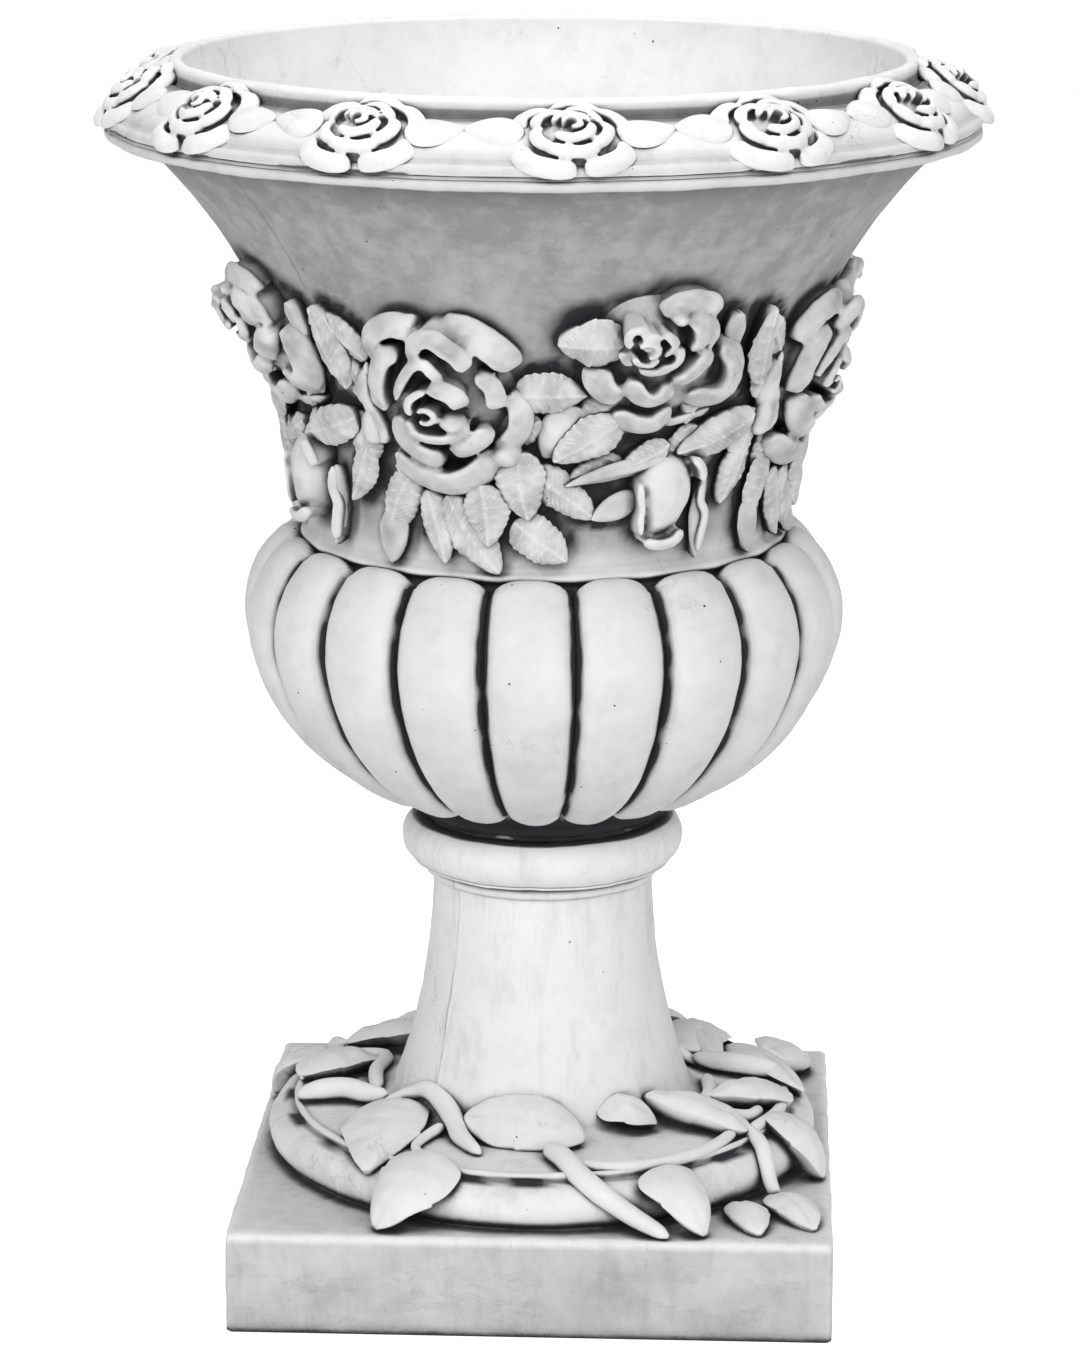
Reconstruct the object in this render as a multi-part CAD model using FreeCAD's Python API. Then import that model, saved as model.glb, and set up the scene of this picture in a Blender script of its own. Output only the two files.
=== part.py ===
"""Cast-stone garden urn on a square plinth: a gadrooned bowl with a flared, rose-trimmed rim and a
rose garland, bedded in mortar on a waisted pedestal with ivy round its foot.

Millimetres, +Z up.  The origin is the centre of the plinth's underside, and -Y is the front.
An azimuth of 0 points to the front and grows towards +X.
"""
import FreeCAD
import Part
import math
import os

Vec = FreeCAD.Vector

# Plinth and foot
plinth_side = 379.0
plinth_height = 65.0
plinth_edge_round = 3.0
foot_ring_radius = 165.0
foot_ring_tube = 14.5
foot_ring_sink = 1.0
saucer_radius = 163.0
saucer_edge_height = 4.5
saucer_rise = 3.0
stem_foot_radius = 98.0
stem_foot_fillet = 12.0
stem_waist_radius = 70.5
stem_height = 145.0
bead_height = 12.0
bead_reach = 5.0
collar_radius = 91.0
collar_height = 28.0
collar_tube = 17.0
collar_top_radius = 82.0
collar_half_angle = 48.0
round_flats = 5
stem_flats = 5
pedestal_bore_radius = 18.0

# Bed and spigot between the two castings
bed_thickness = 4.0
bed_outer_radius = 76.0
socket_radius = 42.0
socket_depth = 16.0
spigot_clearance = 1.5
spigot_length = 12.0

# Belly of the bowl
neck_radius = 78.0
neck_height = 4.0
belly_radius = 192.0
belly_lower_curve = 142.0
belly_upper_curve = 68.0
belly_blend_angle = 12.0
belly_lower_angle = 72.0
belly_upper_angle = 62.0
belly_equator_height = 127.0
lobe_count = 20
lobe_depth = 15.0
lobe_facets = 3
lobe_crown_power = 3.0
belly_stations = 6

# Wall and rim of the bowl
wall_lip_radius = 154.5
wall_lip_height = 4.0
wall_lip_drop = 8.0
wall_radius = 150.0
wall_straight_height = 14.0
flare_height = 233.0
flare_reach = 100.0
flare_flats = 6
rim_radius = 274.4
rim_lip_height = 17.5
rim_lip_groove = 2.4
rim_drip_rise = 2.0
rim_bed_radius = 236.0
rim_bed_height = 23.0
rim_nose_height = 9.0
rim_ledge_height = 12.0
rim_ledge_round = 4.0
mouth_radius = 225.0

# Planting hollow
hollow_shoulder_radius = 185.0
hollow_shoulder_drop = 100.0
hollow_waist_radius = 126.0
hollow_waist_drop = 250.0
hollow_floor_radius = 112.0
floor_thickness = 34.0
drain_radius = 12.0

# Rim flowers
rim_rose_count = 13
rim_rose_first_azimuth = 6.1
rim_rose_width = 60.0
rim_rose_depth = 42.0
rim_rose_height = 15.0
rim_rose_tiers = 2
rim_rose_seat_share = 0.55
rim_leaf_length = 34.0
rim_leaf_width = 23.0
rim_leaf_height = 7.0
rim_leaf_gap = 1.0
rim_leaf_seat_share = 0.44

# Forms shared by the flowers, as shares of a flower's or leaf's own size
rose_petals = 5
rose_petal_notch = 0.8
rose_closing = 0.82
rose_petal_lip = 0.62
rose_cup_depth = 0.3
rose_outer_lift = 0.45
rose_root_share = 0.4
leaf_shoulder = 0.08
leaf_edge_share = 0.4
leaf_root_share = 0.4

# Garland on the wall
garland_repeats = 4
garland_root = 14.0
garland_rose_tiers = 3
open_rose_radius = 50.0
open_rose_height = 30.0
open_rose_stretch = 1.08
full_rose_radius = 44.0
full_rose_height = 28.0
full_rose_stretch = 1.05
rose_bud_length = 58.0
rose_bud_width = 40.0
rose_bud_height = 24.0
garland_leaf_height = 9.0
# azimuth, height above the foot of the flare and turn from the level, of each flower
open_rose_seat = (-20.3, 87.5, 8.0)
full_rose_seat = (24.5, 117.5, 12.0)
rose_bud_seat = (31.0, 27.5, 82.0)
# azimuth, height above the foot of the flare, length, width and turn from the level, of each leaf
garland_leaves = (
    (-30, 29, 39, 22, -113), (-21, 16, 43, 20, -78), (-12, 12, 48, 26, -58),
    (-9, 30, 34, 22, -85), (-1, 47, 38, 25, -84), (7, 38, 42, 20, -45),
    (2, 9, 36, 25, -45), (4, 104, 38, 28, 0), (6, 78, 38, 26, -124),
    (11, 141, 36, 30, 180), (12, 74, 40, 25, -128), (20, 58, 56, 14, -165),
    (17, 30, 30, 16, -150), (43, 74, 50, 22, -167), (49, 44, 36, 18, -115),
    (49, 128, 50, 17, 119), (40, 140, 26, 13, -70), (56, 82, 48, 14, -75),
    (40, 18, 46, 10, -89))

# Ivy round the foot
ivy_repeats = 2
vine_lift = 0.3
ivy_leaf_height = 7.0
ivy_leaf_root = 12.0
ivy_leaf_lift = 3.0
# each vine: reach past the ring's centre line and azimuth of its points, then its end thicknesses
ivy_vines = (
    (((-7, -77), (-65, -50), (-41, -22)), 7.5, 4.5),
    (((-35, 5), (13, 15), (39, 25)), 8.5, 5.0))
# each leaf: reach past the ring's centre line and azimuth of its stalk and of its tip, then its width
ivy_leaves = (
    ((-43, -54), (1, -38), 46), ((-5, -20), (39, -29), 44), ((-53, -20), (-49, 13), 32),
    ((-7, 28), (45, 31), 38), ((-9, 57), (-57, 50), 30), ((-7, 70), (-43, 82), 28),
    ((25, 50), (71, 44), 40), ((-19, 118), (-15, 92), 34))

# Heights worked out from the sizes above
foot_ring_z = plinth_height + foot_ring_tube - foot_ring_sink
saucer_z = foot_ring_z + foot_ring_tube + saucer_edge_height
stem_foot_z = saucer_z + saucer_rise + stem_foot_fillet / 3
waist_z = stem_foot_z + stem_height
collar_z = waist_z + bead_height
pedestal_top = collar_z + collar_height
bowl_base = pedestal_top + bed_thickness
belly_base = bowl_base + neck_height
equator_z = belly_base + belly_equator_height


def vertical_arc_radius(reach, height):
    """Radius of the arc that leaves the vertical and moves out by reach over height."""
    return (height ** 2 + reach ** 2) / (2 * reach)


flare_curve = vertical_arc_radius(flare_reach, flare_height)
stem_curve = vertical_arc_radius(stem_foot_radius - stem_waist_radius, stem_height)


def crest_point(angle):
    """Crest of a lobe at an angle below the belly's equator: radius and height."""
    blend = math.radians(belly_blend_angle)
    turn = math.radians(angle)
    if turn <= blend:
        return (belly_radius - belly_upper_curve * (1 - math.cos(turn)),
                equator_z - belly_upper_curve * math.sin(turn))
    step = belly_lower_curve - belly_upper_curve
    return (belly_radius - belly_upper_curve - step * math.cos(blend) + belly_lower_curve * math.cos(turn),
            equator_z + step * math.sin(blend) - belly_lower_curve * math.sin(turn))


lip_z = crest_point(-belly_upper_angle)[1] - wall_lip_drop
flare_z = lip_z + wall_lip_height + wall_straight_height
rim_z = flare_z + flare_height
rim_bed_z = rim_z + rim_lip_height
rim_top_z = rim_bed_z + rim_bed_height + rim_ledge_height


def wall_surface(z):
    """Radius and outward lean, in degrees, of the flared wall at a height."""
    climb = max(0.0, z - flare_z)
    across = math.sqrt(flare_curve ** 2 - climb ** 2)
    return wall_radius + flare_curve - across, math.degrees(math.asin(climb / flare_curve))


def outline(start, *steps):
    """Closed face in the XZ plane; a step is a corner, or a pair for an arc through its first point."""
    edges = []
    here = Vec(start[0], 0, start[1])
    for step in steps + (start,):
        if isinstance(step[0], tuple):
            middle, end = (Vec(p[0], 0, p[1]) for p in step)
            edges.append(Part.Arc(here, middle, end).toShape())
        else:
            end = Vec(step[0], 0, step[1])
            edges.append(Part.makeLine(here, end))
        here = end
    return Part.Face(Part.Wire(edges))


def turned(*points):
    return outline(*points).revolve(Vec(0, 0, 0), Vec(0, 0, 1), 360)


def arc_steps(centre_r, centre_z, radius, first, last, flats):
    """Outline steps for a round moulding: the corners of flats cut along an arc, angles in degrees."""
    turns = [math.radians(first + (last - first) * i / flats) for i in range(flats + 1)]
    return [(centre_r + radius * math.cos(turn), centre_z + radius * math.sin(turn)) for turn in turns]


def cylinder(radius, low, high):
    return Part.makeCylinder(radius, high - low, Vec(0, 0, low))


def on_circle(radius, azimuth, z):
    """Point at an azimuth in radians from the front."""
    return Vec(radius * math.sin(azimuth), -radius * math.cos(azimuth), z)


def lobed_ring(radius, z, angle=0.0, depth=1.0):
    """Ring of points round crowned lobes; the grooves lie square to a surface at an angle below level."""
    half = math.pi / lobe_count
    lean = math.radians(angle)
    points = []
    for lobe in range(lobe_count):
        middle = 2 * half * lobe
        for step in range(-lobe_facets, lobe_facets):
            across = step / lobe_facets
            sunk = depth * abs(across) ** lobe_crown_power
            points.append(on_circle(radius - sunk * math.cos(lean), middle + half * across,
                                    z + sunk * math.sin(lean)))
    return points


def gadrooned_belly():
    """The lobes: rings square to the swelling of the belly, skinned from the neck to the shoulder."""
    spread = belly_lower_angle + belly_upper_angle
    rings = [lobed_ring(neck_radius - 1, belly_base)]
    for station in range(belly_stations, -1, -1):
        angle = spread * station / belly_stations - belly_upper_angle
        radius, z = crest_point(angle)
        rings.append(lobed_ring(radius, z, angle, lobe_depth * radius / belly_radius))
    rings.append(lobed_ring(wall_radius - 3, lip_z + 1))
    return ring_solid(rings)


def wall_and_rim():
    """Lip, flared wall and moulded rim, turned solid as far as the axis."""
    flare = [flare_z + flare_height * i / flare_flats for i in range(flare_flats + 1)]
    band = rim_lip_height / 4
    inner = rim_radius - rim_lip_groove
    nose = inner - rim_nose_height
    return turned(
        (0, lip_z), (wall_lip_radius, lip_z), (wall_radius, lip_z + wall_lip_height),
        *[(wall_surface(z)[0], z) for z in flare],
        (inner, rim_z + rim_drip_rise),
        (rim_radius, rim_z + rim_drip_rise + rim_lip_groove), (rim_radius, rim_z + 2 * band - 1),
        (inner, rim_z + 2 * band + 1), (rim_radius - 1, rim_z + 2 * band + 3),
        (rim_radius - 1, rim_bed_z - 3), (inner - 1, rim_bed_z), (nose, rim_bed_z + rim_nose_height),
        (rim_bed_radius, rim_bed_z + rim_bed_height),
        (rim_bed_radius - 4, rim_bed_z + rim_bed_height - 3),
        (rim_bed_radius - 4, rim_top_z - rim_ledge_round),
        (rim_bed_radius - 4 - rim_ledge_round * 0.6, rim_top_z), (0, rim_top_z))


def hollow_core():
    """Planting hollow: a core with draft all the way down, and a drain hole in its floor."""
    floor_z = bowl_base + floor_thickness
    shoulder_z = rim_top_z - hollow_shoulder_drop
    waist_z = rim_top_z - hollow_waist_drop
    core = turned(
        (0, floor_z), (hollow_floor_radius, floor_z),
        (hollow_waist_radius, waist_z), (hollow_shoulder_radius, shoulder_z),
        (mouth_radius - 1, rim_top_z - 12), (mouth_radius, rim_top_z + 1), (0, rim_top_z + 1))
    return core.fuse(cylinder(drain_radius, bowl_base - spigot_length - 1, floor_z + 1))


def bowl():
    neck = cylinder(neck_radius, bowl_base, belly_base + 6)
    spigot = cylinder(socket_radius - spigot_clearance, bowl_base - spigot_length, bowl_base)
    body = gadrooned_belly().fuse([wall_and_rim(), neck, spigot])
    return body.cut(hollow_core())


def mortar_bed():
    ring = cylinder(bed_outer_radius, pedestal_top, bowl_base)
    return ring.cut(cylinder(socket_radius, pedestal_top, bowl_base))


def stem_surface(z):
    """Radius of the waisted stem at a height."""
    return stem_waist_radius + stem_curve - math.sqrt(stem_curve ** 2 - (waist_z - z) ** 2)


def pedestal():
    """Plinth, ring foot, saucer, waisted stem, bead and collar, cast in one round a central bore."""
    plinth = Part.makeBox(plinth_side, plinth_side, plinth_height,
                          Vec(-plinth_side / 2, -plinth_side / 2, 0))
    top_edges = [e for e in plinth.Edges if e.BoundBox.ZMin > plinth_height - 1]
    plinth = plinth.makeFillet(plinth_edge_round, top_edges)
    stem_z = stem_foot_z
    saucer_top = saucer_z + saucer_rise
    stem = [stem_z + stem_height * (i / stem_flats) ** 1.5 for i in range(1, stem_flats + 1)]
    fillet = stem_foot_fillet
    neck = stem_waist_radius
    shaft = turned(
        (0, plinth_height - 10), (foot_ring_radius, plinth_height - 10),
        (foot_ring_radius + foot_ring_tube * 0.5, plinth_height - 1),
        *arc_steps(foot_ring_radius, foot_ring_z, foot_ring_tube, -35, 90, round_flats),
        (saucer_radius, foot_ring_z + foot_ring_tube), (saucer_radius, saucer_z),
        (stem_foot_radius + fillet, saucer_top), (stem_foot_radius, stem_z),
        *[(stem_surface(z), z) for z in stem],
        (neck, collar_z - bead_height * 0.8),
        (neck + bead_reach, collar_z - bead_height * 0.4), (neck + bead_reach / 2, collar_z),
        *arc_steps(collar_radius - collar_tube, collar_z + collar_height / 2, collar_tube,
                   -collar_half_angle, collar_half_angle, round_flats),
        (collar_top_radius, pedestal_top),
        (0, pedestal_top))
    body = plinth.fuse(shaft)
    body = body.cut(cylinder(pedestal_bore_radius, -1, pedestal_top + 1))
    return body.cut(cylinder(socket_radius, pedestal_top - socket_depth, pedestal_top + 1))


def foot_surface(radius):
    """Height of the foot's upper surface: stem, saucer, ring or plinth."""
    if radius >= foot_ring_radius + foot_ring_tube:
        return plinth_height
    if radius > saucer_radius:
        over = radius - foot_ring_radius
        return foot_ring_z + math.sqrt(foot_ring_tube ** 2 - over ** 2)
    if radius > stem_foot_radius + stem_foot_fillet:
        run = (saucer_radius - radius) / (saucer_radius - stem_foot_radius - stem_foot_fillet)
        return saucer_z + saucer_rise * run
    reach = max(0.0, radius - stem_waist_radius)
    return waist_z - math.sqrt(max(0.0, stem_curve ** 2 - (stem_curve - reach) ** 2))


def faceted(outlines):
    """Closed solid with one flat face on each outline of points, all of them turned outwards."""
    faces = [Part.Face(Part.makePolygon(outline + outline[:1])) for outline in outlines]
    solid = Part.Solid(Part.Shell(faces))
    if solid.Volume < 0:
        solid.reverse()
    return solid


def ring_solid(rings):
    """Closed solid of triangles skinned over rings of the same number of points."""
    triangles = []
    count = len(rings[0])
    for low, high in zip(rings, rings[1:]):
        for i in range(count):
            j = (i + 1) % count
            triangles += [[low[i], low[j], high[j]], [low[i], high[j], high[i]]]
    for ring in (rings[0], rings[-1]):
        centre = sum(ring[1:], ring[0]) * (1.0 / count)
        triangles += [[centre, ring[i], ring[(i + 1) % count]] for i in range(count)]
    return faceted(triangles)


def frame_at(origin, along, normal):
    """Placement with X along a direction and Z along the surface normal."""
    z_axis = Vec(normal).normalize()
    y_axis = z_axis.cross(along).normalize()
    x_axis = y_axis.cross(z_axis)
    return FreeCAD.Matrix(x_axis.x, y_axis.x, z_axis.x, origin.x,
                          x_axis.y, y_axis.y, z_axis.y, origin.y,
                          x_axis.z, y_axis.z, z_axis.z, origin.z, 0, 0, 0, 1)


def around(azimuth, lean):
    """Tangent, upward direction and outward normal at an azimuth, for a surface leaning out by lean."""
    turn, tilt = math.radians(azimuth), math.radians(lean)
    out = Vec(math.sin(turn), -math.cos(turn), 0)
    rise = Vec(0, 0, 1)
    return (Vec(math.cos(turn), math.sin(turn), 0),
            out * math.sin(tilt) + rise * math.cos(tilt),
            out * math.cos(tilt) - rise * math.sin(tilt))


def rose(radius, height, tiers, stretch=1.0, root=0.0):
    """Cupped tiers of petals, each turned half a petal against the one below; stretched along X."""
    rings = []
    profile = [(rose_root_share, -root)]
    for tier in range(tiers):
        size = 1 - rose_closing * tier / tiers
        crown = height * (rose_outer_lift + (1 - rose_outer_lift) * (tier + 1) / tiers)
        profile += [(size, crown), (size - rose_petal_lip / tiers, crown - rose_cup_depth * height)]
    for level, (share, z) in enumerate(profile):
        half_turn = ((level + 1) // 2) * math.pi / rose_petals
        ring = []
        for i in range(2 * rose_petals):
            reach = radius * share * (1.0 if i % 2 else rose_petal_notch)
            angle = i * math.pi / rose_petals + half_turn
            ring.append(Vec(stretch * reach * math.cos(angle), reach * math.sin(angle), z))
        rings.append(ring)
    return ring_solid(rings)


def rose_bud(length, width, height, root):
    """Swelling bud hanging along -X, narrow at its stalk and folded over at its mouth."""
    side = 0.4 * height
    section = ((0.35, -root), (0.5, side), (0.0, height), (-0.5, side), (-0.35, -root))
    stations = ((0.5, 0.4), (0.3, 0.85), (-0.2, 1.0), (-0.5, 0.7))
    rings = []
    for along, swell in stations:
        rings.append([Vec(along * length, y * width * swell, z * swell if z > 0 else z)
                      for y, z in section])
    return ring_solid(rings)


def leaf(length, width, height, root=0.0):
    """Pointed leaf lying along X with a raised ridge; a root may reach down to be cut to its seat."""
    edge = ((-0.5, 0.0), (-leaf_shoulder, -0.5), (0.5, 0.0), (-leaf_shoulder, 0.5))
    stalk = leaf_root_share
    low = [Vec(x * length * stalk, y * width * stalk, -root) for x, y in edge]
    high = [Vec(x * length, y * width, leaf_edge_share * height) for x, y in edge]
    ridge = Vec(0, 0, height)
    outlines = [low]
    for i in range(4):
        j = (i + 1) % 4
        outlines += [[low[i], low[j], high[j], high[i]], [high[i], high[j], ridge]]
    return faceted(outlines)


def placed(piece, origin, along, normal):
    moved = piece.copy()
    moved.transformShape(frame_at(origin, along, normal))
    return moved


def turned_by(piece, degrees):
    return piece.rotated(Vec(0, 0, 0), Vec(0, 0, 1), degrees)


def neighbours(piece, repeats):
    """The copies of a piece in the repeats on both sides of its own."""
    return [turned_by(piece, side * 360.0 / repeats) for side in (-1, 1)]


def turned_copies(solids, count, first=0.0):
    """One list of solids for each of count equal turns about the axis."""
    return [[turned_by(solid, first + 360.0 * step / count) for solid in solids]
            for step in range(count)]


def carved(piece, *cutters):
    """The largest solid left of a piece once the cutters that it meets are taken away."""
    for cutter in cutters:
        if piece.BoundBox.intersect(cutter.BoundBox):
            piece = max(piece.cut(cutter).Solids, key=lambda solid: solid.Volume)
    return piece


def rim_flowers():
    """One rose and the pair of leaves after it, seated flat on the sloping bed of the rim."""
    run = rim_radius - rim_lip_groove - rim_nose_height - rim_bed_radius
    drop = rim_bed_height - rim_nose_height
    lean = math.degrees(math.atan2(drop, run)) - 90
    pitch = 360.0 / rim_rose_count

    def seat(azimuth, share):
        along, _, normal = around(azimuth, lean)
        z = rim_bed_z + rim_bed_height - share * drop
        return on_circle(rim_bed_radius + share * run, math.radians(azimuth), z), along, normal

    bloom = rose(rim_rose_depth / 2, rim_rose_height, rim_rose_tiers, rim_rose_width / rim_rose_depth)
    bloom = placed(bloom, *seat(0, rim_rose_seat_share))
    leaves = []
    spacing = math.degrees((rim_leaf_length + rim_leaf_gap) / 2 / rim_bed_radius)
    for side in (-1, 1):
        blade = leaf(rim_leaf_length, rim_leaf_width, rim_leaf_height)
        blade = placed(blade, *seat(pitch / 2 + side * spacing, rim_leaf_seat_share))
        leaves.append(carved(blade, bloom, turned_by(bloom, pitch)))
    return bloom, leaves


def on_wall(azimuth, height, turn=0.0):
    """Seat on the wall, above the foot of the flare: point, direction turned from level, normal."""
    z = flare_z + height
    radius, lean = wall_surface(z)
    level, up, normal = around(azimuth, lean)
    swing = math.radians(turn)
    return (on_circle(radius, math.radians(azimuth), z),
            level * math.cos(swing) + up * math.sin(swing), normal)


def garland(wall):
    """One repeat of the garland: open rose, full rose, hanging bud and the leaves round them."""
    flowers = (
        (rose(open_rose_radius, open_rose_height, garland_rose_tiers, open_rose_stretch, garland_root),
         open_rose_seat),
        (rose(full_rose_radius, full_rose_height, garland_rose_tiers, full_rose_stretch, garland_root),
         full_rose_seat),
        (rose_bud(rose_bud_length, rose_bud_width, rose_bud_height, garland_root), rose_bud_seat))
    flowers = [carved(placed(flower, *on_wall(*seat)), wall) for flower, seat in flowers]
    standing = flowers + [side for flower in flowers for side in neighbours(flower, garland_repeats)]
    leaves = []
    for azimuth, height, length, width, turn in garland_leaves:
        blade = leaf(length, width, garland_leaf_height, garland_root)
        blade = carved(placed(blade, *on_wall(azimuth, height, turn)), wall, *standing)
        leaves.append(blade)
        standing += [blade] + neighbours(blade, garland_repeats)
    return flowers, leaves


def on_foot(reach, azimuth, lift=0.0):
    """Point over the foot, by its reach past the ring's centre line."""
    radius = foot_ring_radius + reach
    return on_circle(radius, math.radians(azimuth), foot_surface(radius) + lift)


def vine(route, thick, thin):
    """Tapering stem of five-sided section along points on the foot, sunk to be cut to its seat."""
    points = [on_foot(reach, azimuth, vine_lift * thick) for reach, azimuth in route]
    rings = []
    for i, point in enumerate(points):
        along = (points[min(i + 1, len(points) - 1)] - points[max(i - 1, 0)]).normalize()
        side = along.cross(Vec(0, 0, 1)).normalize()
        crown = side.cross(along)
        size = thick + (thin - thick) * i / (len(points) - 1)
        across, up = side * size, crown * size
        rings.append([point - across, point - up, point + across,
                      point + across * 0.5 + up, point - across * 0.5 + up])
    return ring_solid(rings)


def ivy(foot):
    """The ivy on one half of the foot: vines first, then the leaves over them."""
    vines = []
    for route, thick, thin in ivy_vines:
        vines.append(carved(vine(route, thick, thin), foot, *vines))
    standing = vines + [side for stem in vines for side in neighbours(stem, ivy_repeats)]
    leaves = []
    for base, tip, width in ivy_leaves:
        start, end = on_foot(*base), on_foot(*tip)
        along = end - start
        side = along.cross(Vec(0, 0, 1))
        blade = leaf(along.Length, width, ivy_leaf_height, ivy_leaf_root)
        middle = (start + end) * 0.5 + Vec(0, 0, ivy_leaf_lift)
        blade = carved(placed(blade, middle, along, side.cross(along)), foot, *standing)
        leaves.append(blade)
        standing += [blade] + neighbours(blade, ivy_repeats)
    return vines, leaves


def node(name, *solids):
    """Write one named piece, or one group of like pieces, as a STEP file."""
    flat = [solid for shape in solids for solid in shape.Solids]
    shape = flat[0] if len(flat) == 1 else Part.makeCompound(flat)
    shape.exportStep("parts/" + name + ".step")


def build():
    os.makedirs("parts", exist_ok=True)
    rim = wall_and_rim()
    foot = pedestal()
    node("bowl", bowl())
    node("pedestal", foot)
    node("mortar_bed", mortar_bed())
    bloom, pair = rim_flowers()
    blooms = turned_copies([bloom], rim_rose_count, rim_rose_first_azimuth)
    pairs = turned_copies(pair, rim_rose_count, rim_rose_first_azimuth)
    for i in range(rim_rose_count):
        node("rim_rose_%d" % (i + 1), *blooms[i])
        node("rim_leaves_%d" % (i + 1), *pairs[i])
    flowers, leaves = garland(rim)
    for i, copies in enumerate(turned_copies(flowers + leaves, garland_repeats)):
        node("open_rose_%d" % (i + 1), copies[0])
        node("full_rose_%d" % (i + 1), copies[1])
        node("rose_bud_%d" % (i + 1), copies[2])
        node("garland_leaves_%d" % (i + 1), *copies[3:])
    vines, blades = ivy(foot)
    for i, copies in enumerate(turned_copies(vines + blades, ivy_repeats)):
        node("ivy_vines_%d" % (i + 1), *copies[:len(vines)])
        node("ivy_leaves_%d" % (i + 1), *copies[len(vines):])


build()
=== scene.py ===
import math

import bpy
import numpy as np
from mathutils import Matrix, Vector


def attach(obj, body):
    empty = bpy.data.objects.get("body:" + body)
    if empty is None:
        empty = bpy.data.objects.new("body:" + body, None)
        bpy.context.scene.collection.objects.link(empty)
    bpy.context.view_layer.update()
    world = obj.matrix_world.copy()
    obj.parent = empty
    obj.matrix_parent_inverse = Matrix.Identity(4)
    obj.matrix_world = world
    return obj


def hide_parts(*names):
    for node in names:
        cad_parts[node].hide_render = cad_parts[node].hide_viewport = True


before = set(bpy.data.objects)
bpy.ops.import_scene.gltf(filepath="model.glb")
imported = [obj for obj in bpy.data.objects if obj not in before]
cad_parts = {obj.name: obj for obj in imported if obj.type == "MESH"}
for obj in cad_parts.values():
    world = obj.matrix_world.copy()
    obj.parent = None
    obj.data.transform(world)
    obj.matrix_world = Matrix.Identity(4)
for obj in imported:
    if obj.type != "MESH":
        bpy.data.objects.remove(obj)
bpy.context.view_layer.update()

# ---- Camera --------------------------------------------------------------------------------------
# The camera stands a little to the right of the urn's front and looks down on it, so that its mouth
# shows as an ellipse. Its place is worked out in millimetres from the urn's own axis.
MM = 0.001
camera_distance = 2900.0
camera_height = 1107.0
camera_azimuth = math.radians(2.6415)
camera_pitch = math.radians(14.0749)
camera_roll = math.radians(0.0925)
frame_tall_px = 1350.0
focal_px = 4636.81
centre_offset_px = 2.83

eye = Vector((camera_distance * math.sin(camera_azimuth), -camera_distance * math.cos(camera_azimuth),
              camera_height)) * MM
ahead = Vector((-math.sin(camera_azimuth) * math.cos(camera_pitch),
                math.cos(camera_azimuth) * math.cos(camera_pitch), -math.sin(camera_pitch)))
level = Vector((math.cos(camera_azimuth), math.sin(camera_azimuth), 0.0))
upright = level.cross(ahead)
across = level * math.cos(camera_roll) + upright * math.sin(camera_roll)
above = upright * math.cos(camera_roll) - level * math.sin(camera_roll)
camera_data = bpy.data.cameras.new("camera")
camera_data.sensor_width = 36.0
camera_data.lens = focal_px * camera_data.sensor_width / frame_tall_px
camera_data.shift_x = -centre_offset_px / frame_tall_px
camera = bpy.data.objects.new("camera", camera_data)
camera.matrix_world = Matrix((
    (across.x, above.x, -ahead.x, eye.x), (across.y, above.y, -ahead.y, eye.y),
    (across.z, above.z, -ahead.z, eye.z), (0, 0, 0, 1)))
bpy.context.scene.collection.objects.link(camera)
bpy.context.scene.camera = camera
bpy.context.scene.view_settings.view_transform = "Standard"

# ---- Floor, backdrop and lamps -------------------------------------------------------------------
# A plain pale floor and a white surround. Large soft lamps stand at both sides, in front and over the
# mouth, so that the crowns of the relief are light and its recesses stay dark.
lamps = (
    ("lamp_left", (-2.1, -2.3, 1.9), 1.5, 38.0),
    ("lamp_right", (2.2, -2.2, 1.7), 1.5, 33.0),
    ("lamp_front", (0.1, -3.3, 2.5), 1.4, 34.0),
    ("lamp_above", (0.1, 0.1, 3.0), 1.3, 34.0))
lamps_aim = (0, 0, 0.42)
surround_level = 0.34
floor_half = 6.0
floor_tone = 0.9
floor_glow = 0.62


def feed(tree, node, **values):
    """Set a node's properties and, by in_NAME, its input sockets; a (node, output) pair is linked."""
    for key, value in values.items():
        if not key.startswith("in_"):
            setattr(node, key, value)
            continue
        name = key[3:]
        socket = node.inputs[int(name) if name.isdigit() else name.replace("_", " ")]
        if isinstance(value, tuple) and hasattr(value[0], "outputs"):
            tree.links.new(value[0].outputs[value[1]], socket)
        else:
            socket.default_value = value
    return node


def add_node(tree, kind, **values):
    return feed(tree, tree.nodes.new(kind), **values)


def calc(tree, operation, *inputs, clamped=False):
    """Result of a math node, as a (node, output) pair."""
    given = {"in_%d" % i: value for i, value in enumerate(inputs)}
    return add_node(tree, "ShaderNodeMath", operation=operation, use_clamp=clamped, **given), 0


def light_up_world():
    """White where the camera sees it or the stone mirrors it, and weaker as a light."""
    world = bpy.data.worlds.new("surround")
    world.use_nodes = True
    tree = world.node_tree
    tree.nodes.clear()
    path = add_node(tree, "ShaderNodeLightPath")
    seen = calc(tree, "MAXIMUM", (path, "Is Camera Ray"), (path, "Is Glossy Ray"))
    shown = calc(tree, "MAXIMUM", seen, (path, "Is Transmission Ray"))
    light, white = (add_node(tree, "ShaderNodeBackground", in_Color=(1, 1, 1, 1), in_Strength=strength)
                    for strength in (surround_level, 1.0))
    mix = add_node(tree, "ShaderNodeMixShader", in_0=shown, in_1=(light, 0), in_2=(white, 0))
    add_node(tree, "ShaderNodeOutputWorld", in_0=(mix, 0))
    bpy.context.scene.world = world


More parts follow.
